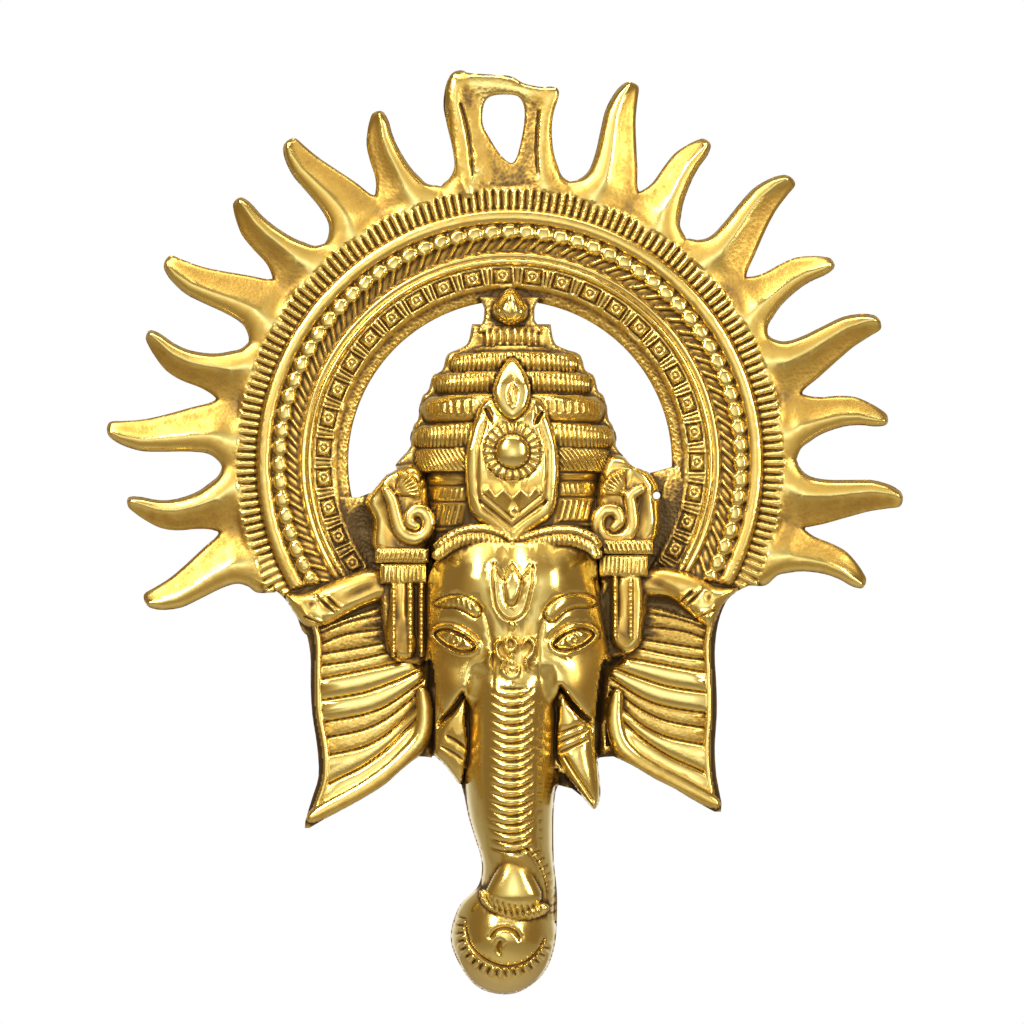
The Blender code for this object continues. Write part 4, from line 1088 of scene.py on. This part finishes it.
for side, work in side_work.items():
    slab(outline_of(work["body"], 4), 9.0, 5.6, 2.2)
    cx, cz, size, first, last = work["fan"]
    fan_line = [(cx, cz)]
    for a in range(first, last + 1, 8):
        fan_line.append((cx + size * math.cos(math.radians(a)), cz + size * math.sin(math.radians(a))))
    slab(fan_line, 10.4, 9.2, 0.8)
    for a in np.arange(first + 4, last, 11.5):
        dx, dz = math.cos(math.radians(a)), math.sin(math.radians(a))
        stroke([(cx + 1.6 * dx, cz + 1.6 * dz), (cx + (size - 0.4) * dx, cz + (size - 0.4) * dz)], 0.36, -0.75, 0.9)
    bar(curve(work["curl"], 4), 1.7, 10.2, 0.6, 0.6)
    # Brown wash and painted shade on the body of the ornament.
    wash_and_shade_tint(work["body"], 0.26, 3.0)
    left, right, top, bottom = work["capital"]
    slab(box(left, right, top, bottom), 11.6, 9.8, 0.9)
    hatch(left + 0.8, right - 0.8, top - 0.6, bottom + 0.5, 1.15, 0.7 * side, -0.6, 0.34)
    left, right, top, bottom = work["neck"]
    slab(box(left, right, top, bottom), 10.4, 9.0, 0.8)
    hatch(left + 0.6, right - 0.4, top - 0.5, bottom + 0.6, 1.0, 0, -0.6, 0.34)
    slab(outline_of(work["pendant"], 3), 8.4, 6.4, 1.2, rough=0.5)
    slab(outline_of(work["tongue"], 3), 10.0, 8.4, 1.6)
    tip = work["pendant"][3][1]
    foot = tip + 3.4
    patch = [(0.5 * (left + right) + 2.4 * math.cos(a), foot + 1.8 * math.sin(a)) for a in np.linspace(0, 6.2, 14)]
    # Brown wash and painted shade on the pendant, on a patch above its tip, and on the capital and neck.
    wash_and_shade_tint(work["pendant"], 0.3, 1.0)
    wash_and_shade_tint(patch, 0.6, 1.4)
    wash_and_shade_tint(box(left, right, bottom, top + 3.6), 0.22, 1.0)
    foot = tip + 2.2
    for column in work["columns"]:
        bar([(column, bottom - 0.6), (column, foot)], 0.75, 10.4, 0.9)
        beads([(column, bottom - 0.6), (column + 0.01, 0.5 * (bottom + foot)), (column, foot)], 1.1, 0.5, 0.5)
    print("pendant down to", round(tip, 1), "mm")

# %% [markdown]
# ## Painted amber shade and reflection
# The cheeks, the trunk's flanks, the broken tusk and the sides of the curl are painted an amber tone as shade and
# reflection, where the metal turns away from the bright front.
# These areas are outlined, and their edges fade over a millimetre or two.

# %% Amber areas
# Each area: how dark its painted amber shade is, then its corners.
PAINTED_AMBER_SHADE = [
    (0.5, (-20.6, -114), (-16.8, -118), (-17.4, -134), (-11.6, -139.6), (-11.6, -144), (-17.6, -152.4),
     (-21.2, -146)),
    (0.5, (20.6, -113), (18.6, -118), (20, -134), (14, -138.5), (12.8, -143.5), (21, -153), (25.6, -146), (24, -126)),
    (0.34, (-11.4, -146), (-6, -144), (-6.2, -182), (-10.6, -177), (-12.2, -166)),
    (0.34, (7.2, -144), (11.8, -146), (11.6, -182), (11.6, -196), (8.8, -196), (7.6, -182)),
    (0.45, (-11.6, -144.4), (-19.4, -158), (-12.1, -167), (-9.6, -158)),
    (0.16, (12.2, -145), (20.6, -155), (21.9, -169), (20.9, -172.6), (11, -160)),
    (0.45, (-2.8, -183.6), (4.2, -183.6), (6, -189), (-4.4, -189)),
    (0.32, (-14.4, -196), (-9.5, -198), (-9.5, -208), (0, -214), (8, -208), (11, -198), (11, -208), (0, -218),
     (-13, -210)),
    (0.3, (-6.4, -103.4), (0.5, -105.4), (7.4, -103.4), (0.5, -108.6)),
]
for amount, *area in PAINTED_AMBER_SHADE:
    wash_and_shade_tint(area, amount, 2.0)
print("tallest point", round(float(height.max()), 1), "mm")

# %% [markdown]
# ## From the sheet to a skin
# The sheet is sampled every 0.3 mm. Squares inside the outline become the front, squares below them the back,
# and the two are sewn together along the outline. The back follows the front one wall behind it, where the
# casting is thick enough to be hollow, as founders do to save metal and to let the piece cool evenly.

# %% Front and back heights
EVERY = 2
WALL = 2.6


def lowest_near(a, count):
    """The lowest value within so many samples, first along the rows and then along the columns."""
    out = a
    for i in range(-count, count + 1):
        out = np.minimum(out, shifted(a, 0, i))
    a, out = out, out
    for i in range(-count, count + 1):
        out = np.minimum(out, shifted(a, i, 0))
    return out


inside = inner > 0
well_inside = lowest_near(inside.astype(np.float32), 5) > 0
inner = np.where(well_inside, np.maximum(inner, 1.0), inner).astype(np.float32)
edge_round = 0.75 + 0.25 * shoulder(inner, 0.7)
height = np.where(inside, np.maximum(height * edge_round, 1.4), 0).astype(np.float32)
front = height.copy()
for _ in range(5):
    spread = np.maximum.reduce([shifted(front, *by) for by in ((0, 1), (0, -1), (1, 0), (-1, 0))])
    front = np.where(inside | (front > 0), front, spread)
grid = (slice(None, None, EVERY), slice(None, None, EVERY))
front_low = front[grid]
inner_low = inner[grid]
eroded = lowest_near(np.where(inner_low > 0, front_low, 0), 8)
eroded = softened(eroded, 3)
behind_mask = np.clip(eroded - WALL - 0.4, 0, None) * unit((eroded - 9.2) / 1.5)
reach_low = reach[grid]
channel = 3.2 * unit((reach_low - 48.6) / 1.6) * unit((60.2 - reach_low) / 1.6)
channel *= unit((Z[grid] - RING_Z + 20) / 2)
back = np.maximum(behind_mask, np.minimum(channel, np.clip(front_low - 1.6, 0, None)))
back = np.minimum(back, np.clip(front_low - 1.2, 0, None)) * (inner_low >= 1.0)
print("deepest hollow", round(float(back.max()), 1), "mm")

# %% Sewing the skin
cell = np.zeros_like(inner_low, bool)
any_in = inner_low > 0
cell[:-1, :-1] = any_in[:-1, :-1] | any_in[1:, :-1] | any_in[:-1, 1:] | any_in[1:, 1:]
r, c = np.nonzero(cell)
wide = inner_low.shape[1]
corner = np.stack([r * wide + c, (r + 1) * wide + c, (r + 1) * wide + c + 1, r * wide + c + 1], axis=1)
used, faces = np.unique(corner, return_inverse=True)
faces = faces.reshape(corner.shape)

slope_z, slope_x = np.gradient(inner_low, EVERY * STEP)
steep = np.maximum(slope_x**2 + slope_z**2, 0.25).ravel()[used]
out_by = np.minimum(inner_low.ravel()[used], 0)
move = -np.clip(out_by, -0.8, 0) / steep
px = X[grid].ravel()[used] + move * slope_x.ravel()[used]
pz = Z[grid].ravel()[used] - move * slope_z.ravel()[used]
ph = front_low.ravel()[used]
pb = back.ravel()[used]


def in_space(x, z, h):
    """Metres in the frame. The nearer a point is to the camera, the closer it is drawn to the middle."""
    nearer = 1 - h / DISTANCE
    return np.stack([CENTRE_X + (x - CENTRE_X) * nearer, -h, CENTRE_Z + (z - CENTRE_Z) * nearer], axis=1) / 1000


count = len(used)
points = np.concatenate([in_space(px, pz, ph), in_space(px, pz, pb)])
a = faces.ravel()
b = np.roll(faces, -1, axis=1).ravel()
there = a.astype(np.int64) * count + b
back_again = b.astype(np.int64) * count + a
rim = ~np.isin(there, back_again)
ra, rb = a[rim], b[rim]
sides = np.stack([rb, ra, ra + count, rb + count], axis=1)
quads = np.concatenate([faces, faces[:, ::-1] + count, sides])
mesh = bpy.data.meshes.new("casting")
mesh.vertices.add(len(points))
mesh.vertices.foreach_set("co", points.astype(np.float32).ravel())
mesh.loops.add(quads.size)
mesh.loops.foreach_set("vertex_index", quads.ravel().astype(np.int32))
mesh.polygons.add(len(quads))
mesh.polygons.foreach_set("loop_start", np.arange(0, quads.size, 4, dtype=np.int32))
mesh.update(calc_edges=True)
mesh.validate()
full = bpy.data.objects.new("full_skin", mesh)
bpy.context.scene.collection.objects.link(full)
print("skin", len(points), "points", len(quads), "squares")

# %% [markdown]
# The skin has far more squares than its smooth parts need. A collapse modifier joins them where the metal is
# plain and keeps them where it's worked, then the result is kept as the final mesh.

# %% Lighter skin
TARGET = 186000
thin = full.modifiers.new("lighter", "DECIMATE")
thin.ratio = TARGET / (2 * len(quads))
thin.use_collapse_triangulate = True
graph = bpy.context.evaluated_depsgraph_get()
casting_mesh = bpy.data.meshes.new_from_object(full.evaluated_get(graph))
bpy.data.objects.remove(full)
casting = bpy.data.objects.new("ganesha_relief_casting", casting_mesh)
bpy.context.scene.collection.objects.link(casting)
casting_mesh.polygons.foreach_set("use_smooth", np.ones(len(casting_mesh.polygons), bool))
print("casting", len(casting_mesh.polygons), "triangles")

# %% [markdown]
# ## Where the finish is worn and dark, and where shade and highlight are painted
# After plating, the piece was brushed with a brown wash and wiped. Wiping leaves the wash in every recess and on
# the stippled ground, and bares the high parts. The same darkening in recesses is painted shade too, and the same
# brightening of high parts a painted highlight. So the sheet is compared with softened copies of itself: lower
# than its surroundings means dark, higher means polished. The mesh carries these as values on its points.

# %% Wash and polish, with painted shade and highlight
fine_soft = softened(front, 4)
wide_soft = softened(front, 12)
# Painted shade: recesses are darkened for the brown wash held there and for the shade that falls in them.
recess = unit((fine_soft - front) / 0.42) * 0.85 + unit((wide_soft - front - 0.4) / 3.0) * 0.4
recess = np.where(inside, np.clip(recess + softened(wash_and_shade, 2), 0, 1.1), 0.3)
# Painted highlight: high parts are lightened for the wear that polished them and as a highlight.
raised = unit((front - fine_soft) / 0.3) * 0.6 + unit((front - wide_soft) / 1.6) * 0.4
ground = softened(stipple, 2)

co = np.zeros(len(casting_mesh.vertices) * 3, np.float32)
casting_mesh.vertices.foreach_get("co", co)
co = co.reshape(-1, 3) * 1000
vh = -co[:, 1]
vx = CENTRE_X + (co[:, 0] - CENTRE_X) / (1 - vh / DISTANCE)
vz = CENTRE_Z + (co[:, 2] - CENTRE_Z) / (1 - vh / DISTANCE)
column_at = np.clip((vx - columns[0]) / STEP, 0, X.shape[1] - 1.001)
row_at = np.clip((rows[0] - vz) / STEP, 0, X.shape[0] - 1.001)


def on_points(a):
    """The sheet's value at every point of the mesh, between its four nearest samples."""
    i, j = row_at.astype(int), column_at.astype(int)
    v, u = row_at - i, column_at - j
    upper = a[i, j] * (1 - u) + a[i, j + 1] * u
    lower = a[i + 1, j] * (1 - u) + a[i + 1, j + 1] * u
    return upper * (1 - v) + lower * v


at_front = np.abs(on_points(front) - vh) < 1.0
eased = softened(front, 1)
rise_z, rise_x = np.gradient(eased, -STEP, STEP)
facing = np.stack([-on_points(rise_x), -np.ones(len(vh)), -on_points(rise_z)], axis=1)
tilt = np.linalg.norm(facing, axis=1)
facing /= tilt[:, None]
facing[~at_front | (tilt > 2.2) | (on_points(inner) < 0.5)] = 0
casting_mesh.normals_split_custom_set_from_vertices(facing.tolist())
for name, values, behind in (("wash_and_shade", recess, 0.35), ("polish_and_highlight", raised, 0.0), ("ground", ground, 0.5)):
    layer = casting_mesh.attributes.new(name, "FLOAT", "POINT")
    layer.data.foreach_set("value", np.where(at_front, on_points(values), behind).astype(np.float32))
print("front points", int(at_front.sum()), "of", len(vh))

# %% [markdown]
# ## Antique gold
# One material dresses the whole casting: bright yellow gold where it's polished and where a highlight is painted,
# amber in the shallow recesses and on the painted amber shade, and dark brown where the wash stayed and where shade
# is painted. Small noise keeps the plating uneven, and a fine pitted bump stands for the sand-cast skin, strongest
# on the rough ground.

# %% Antique gold


def new_material(name, settings):
    """A new material and its shader, with some inputs of the shader set."""
    made = bpy.data.materials.new(name)
    made.use_nodes = True
    its_shader = made.node_tree.nodes["Principled BSDF"]
    for key, value in settings.items():
        its_shader.inputs[key].default_value = value
    return made, its_shader


def colour_stops(ramp, stops):
    """Gives a ramp its colours. The first and the last stop are there already, the others are added."""
    ready = ramp.color_ramp.elements
    for stop, (at, colour) in zip(ready, (stops[0], stops[-1])):
        stop.position, stop.color = at, (*colour, 1)
    for at, colour in stops[1:-1]:
        ready.new(at).color = (*colour, 1)


gold, shader = new_material("antique_gold_finish", {"Metallic": 1.0})
tree = gold.node_tree


def node(kind, **settings):
    """A node with its inputs or its own settings given by name."""
    made = tree.nodes.new(kind)
    for key, value in settings.items():
        if key in made.inputs:
            made.inputs[key].default_value = value
        else:
            setattr(made, key, value)
    return made


def link(source, target):
    tree.links.new(source, target)


def attribute(name):
    made = tree.nodes.new("ShaderNodeAttribute")
    made.attribute_name = name
    return made.outputs["Fac"]


def math_node(operation, first, second):
    """One sum of two numbers or outputs."""
    made = node("ShaderNodeMath", operation=operation)
    for socket, value in zip(made.inputs, (first, second)):
        if isinstance(value, (int, float)):
            socket.default_value = value
        else:
            link(value, socket)
    return made.outputs[0]


place = tree.nodes.new("ShaderNodeTexCoord").outputs["Object"]


def noise(scale, detail=3.0):
    made = node("ShaderNodeTexNoise", Scale=scale, Detail=detail, Roughness=0.55)
    link(place, made.inputs["Vector"])
    return made.outputs["Fac"]


clouds = noise(90.0)
patches = noise(420.0, 4.0)
grain = noise(2600.0, 2.0)
pits = node("ShaderNodeTexVoronoi", Scale=1150.0, feature="F1")
link(place, pits.inputs["Vector"])
pit = pits.outputs["Distance"]

uneven = math_node("MULTIPLY", math_node("SUBTRACT", patches, 0.5), 0.5)
rough_ground = attribute("ground")
speckle = math_node("MULTIPLY", rough_ground, math_node("SUBTRACT", 1.05, pit))
# Darkness from brown wash with painted shade and from the rough ground, lightened on high parts by wear and a painted
# highlight.
dark = math_node("ADD", attribute("wash_and_shade"), math_node("MULTIPLY", speckle, 0.75))
dark = math_node("ADD", dark, uneven)
dark = math_node("SUBTRACT", dark, math_node("MULTIPLY", attribute("polish_and_highlight"), 0.45))

tones = tree.nodes.new("ShaderNodeValToRGB")
colour_stops(tones, ((0, (0.81, 0.64, 0.215)), (0.25, (0.71, 0.505, 0.13)), (0.5, (0.52, 0.325, 0.07)),
                     (0.75, (0.26, 0.165, 0.055)), (1, (0.12, 0.08, 0.035))))
link(dark, tones.inputs["Fac"])

hue = node("ShaderNodeMix", data_type="RGBA", blend_type="MULTIPLY")
link(math_node("MULTIPLY", clouds, 0.5), hue.inputs["Factor"])
link(tones.outputs["Color"], hue.inputs[6])
hue.inputs[7].default_value = (1.0, 0.90, 0.66, 1)
link(hue.outputs[2], shader.inputs["Base Color"])

rough = node("ShaderNodeMapRange")
link(math_node("ADD", dark, math_node("MULTIPLY", clouds, 0.25)), rough.inputs["Value"])
rough.inputs["To Min"].default_value = 0.13
rough.inputs["To Max"].default_value = 0.62
link(rough.outputs["Result"], shader.inputs["Roughness"])

relief_bump = math_node("ADD", math_node("MULTIPLY", grain, 0.06), math_node("MULTIPLY", patches, 0.14))
ground_bump = math_node("MULTIPLY", math_node("MULTIPLY", rough_ground, pit), 1.3)
bump = node("ShaderNodeBump", Strength=0.45, Distance=0.0004)
link(math_node("ADD", relief_bump, ground_bump), bump.inputs["Height"])
link(bump.outputs["Normal"], shader.inputs["Normal"])
casting_mesh.materials.append(gold)
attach(casting, "root")
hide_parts("ganesha_casting")
print("finish made of", len(tree.nodes), "nodes")

# %% [markdown]
# ## Floor and light
# Polished metal shows mostly what stands around it. So the room is bright behind the camera, brown at the sides
# and white behind the hanging, with a pale floor far below. Turned-away metal then goes brown and draws the
# edges. Two tall soft panels in front and one above add the highlights.

# %% Stage and light
bpy.ops.mesh.primitive_cylinder_add(vertices=96, radius=6.0, depth=0.02, location=(0, 0, -2.2))
floor = bpy.context.object
floor.name = "pale_floor"
floor.data.materials.append(new_material("pale_floor", {"Base Color": (0.85, 0.85, 0.85, 1), "Roughness": 0.8})[0])

world = bpy.data.worlds.new("studio")
bpy.context.scene.world = world
world.use_nodes = True
sky = world.node_tree
toward = sky.nodes.new("ShaderNodeTexCoord")
split = sky.nodes.new("ShaderNodeSeparateXYZ")
sky.links.new(toward.outputs["Generated"], split.inputs["Vector"])
room = sky.nodes.new("ShaderNodeValToRGB")
colour_stops(room, ((0, (2.0, 2.1, 2.5)), (0.012, (1.25, 1.27, 1.35)), (0.035, (0.80, 0.78, 0.73)),
                    (0.09, (0.57, 0.48, 0.34)), (0.17, (0.44, 0.33, 0.18)), (0.34, (0.28, 0.19, 0.095)),
                    (0.6, (0.28, 0.2, 0.115)), (0.9, (0.5, 0.46, 0.4)), (0.98, (1, 1, 1))))
half_way = sky.nodes.new("ShaderNodeMapRange")
half_way.inputs["From Min"].default_value = -1.0
sky.links.new(split.outputs["Y"], half_way.inputs["Value"])
sky.links.new(half_way.outputs["Result"], room.inputs["Fac"])
sky.links.new(room.outputs["Color"], sky.nodes["Background"].inputs["Color"])
sky.nodes["Background"].inputs["Strength"].default_value = 1.0


def panel(name, place_at, look_at, size, power):
    """A soft rectangular light turned towards a point."""
    lamp = bpy.data.lights.new(name, "AREA")
    lamp.shape = "RECTANGLE"
    lamp.size, lamp.size_y = size
    lamp.energy = power
    holder = bpy.data.objects.new(name, lamp)
    bpy.context.scene.collection.objects.link(holder)
    holder.location = place_at
    away = [b - a for a, b in zip(place_at, look_at)]
    turn = math.atan2(-away[0], away[1])
    holder.rotation_euler = (math.pi / 2 + math.atan2(away[2], math.hypot(away[0], away[1])), 0, turn)


middle = (0, 0, -0.1)
panel("key_panel", (-0.9, -1.4, 0.9), middle, (0.5, 1.1), 26)
panel("fill_panel", (1.2, -1.2, 0.3), middle, (0.4, 1.2), 14)
panel("top_panel", (0, -0.4, 1.4), middle, (1.4, 0.7), 14)
print("room of", len(room.color_ramp.elements), "tones and three panels")

# %% Finish
bpy.context.scene.view_settings.view_transform = "Standard"
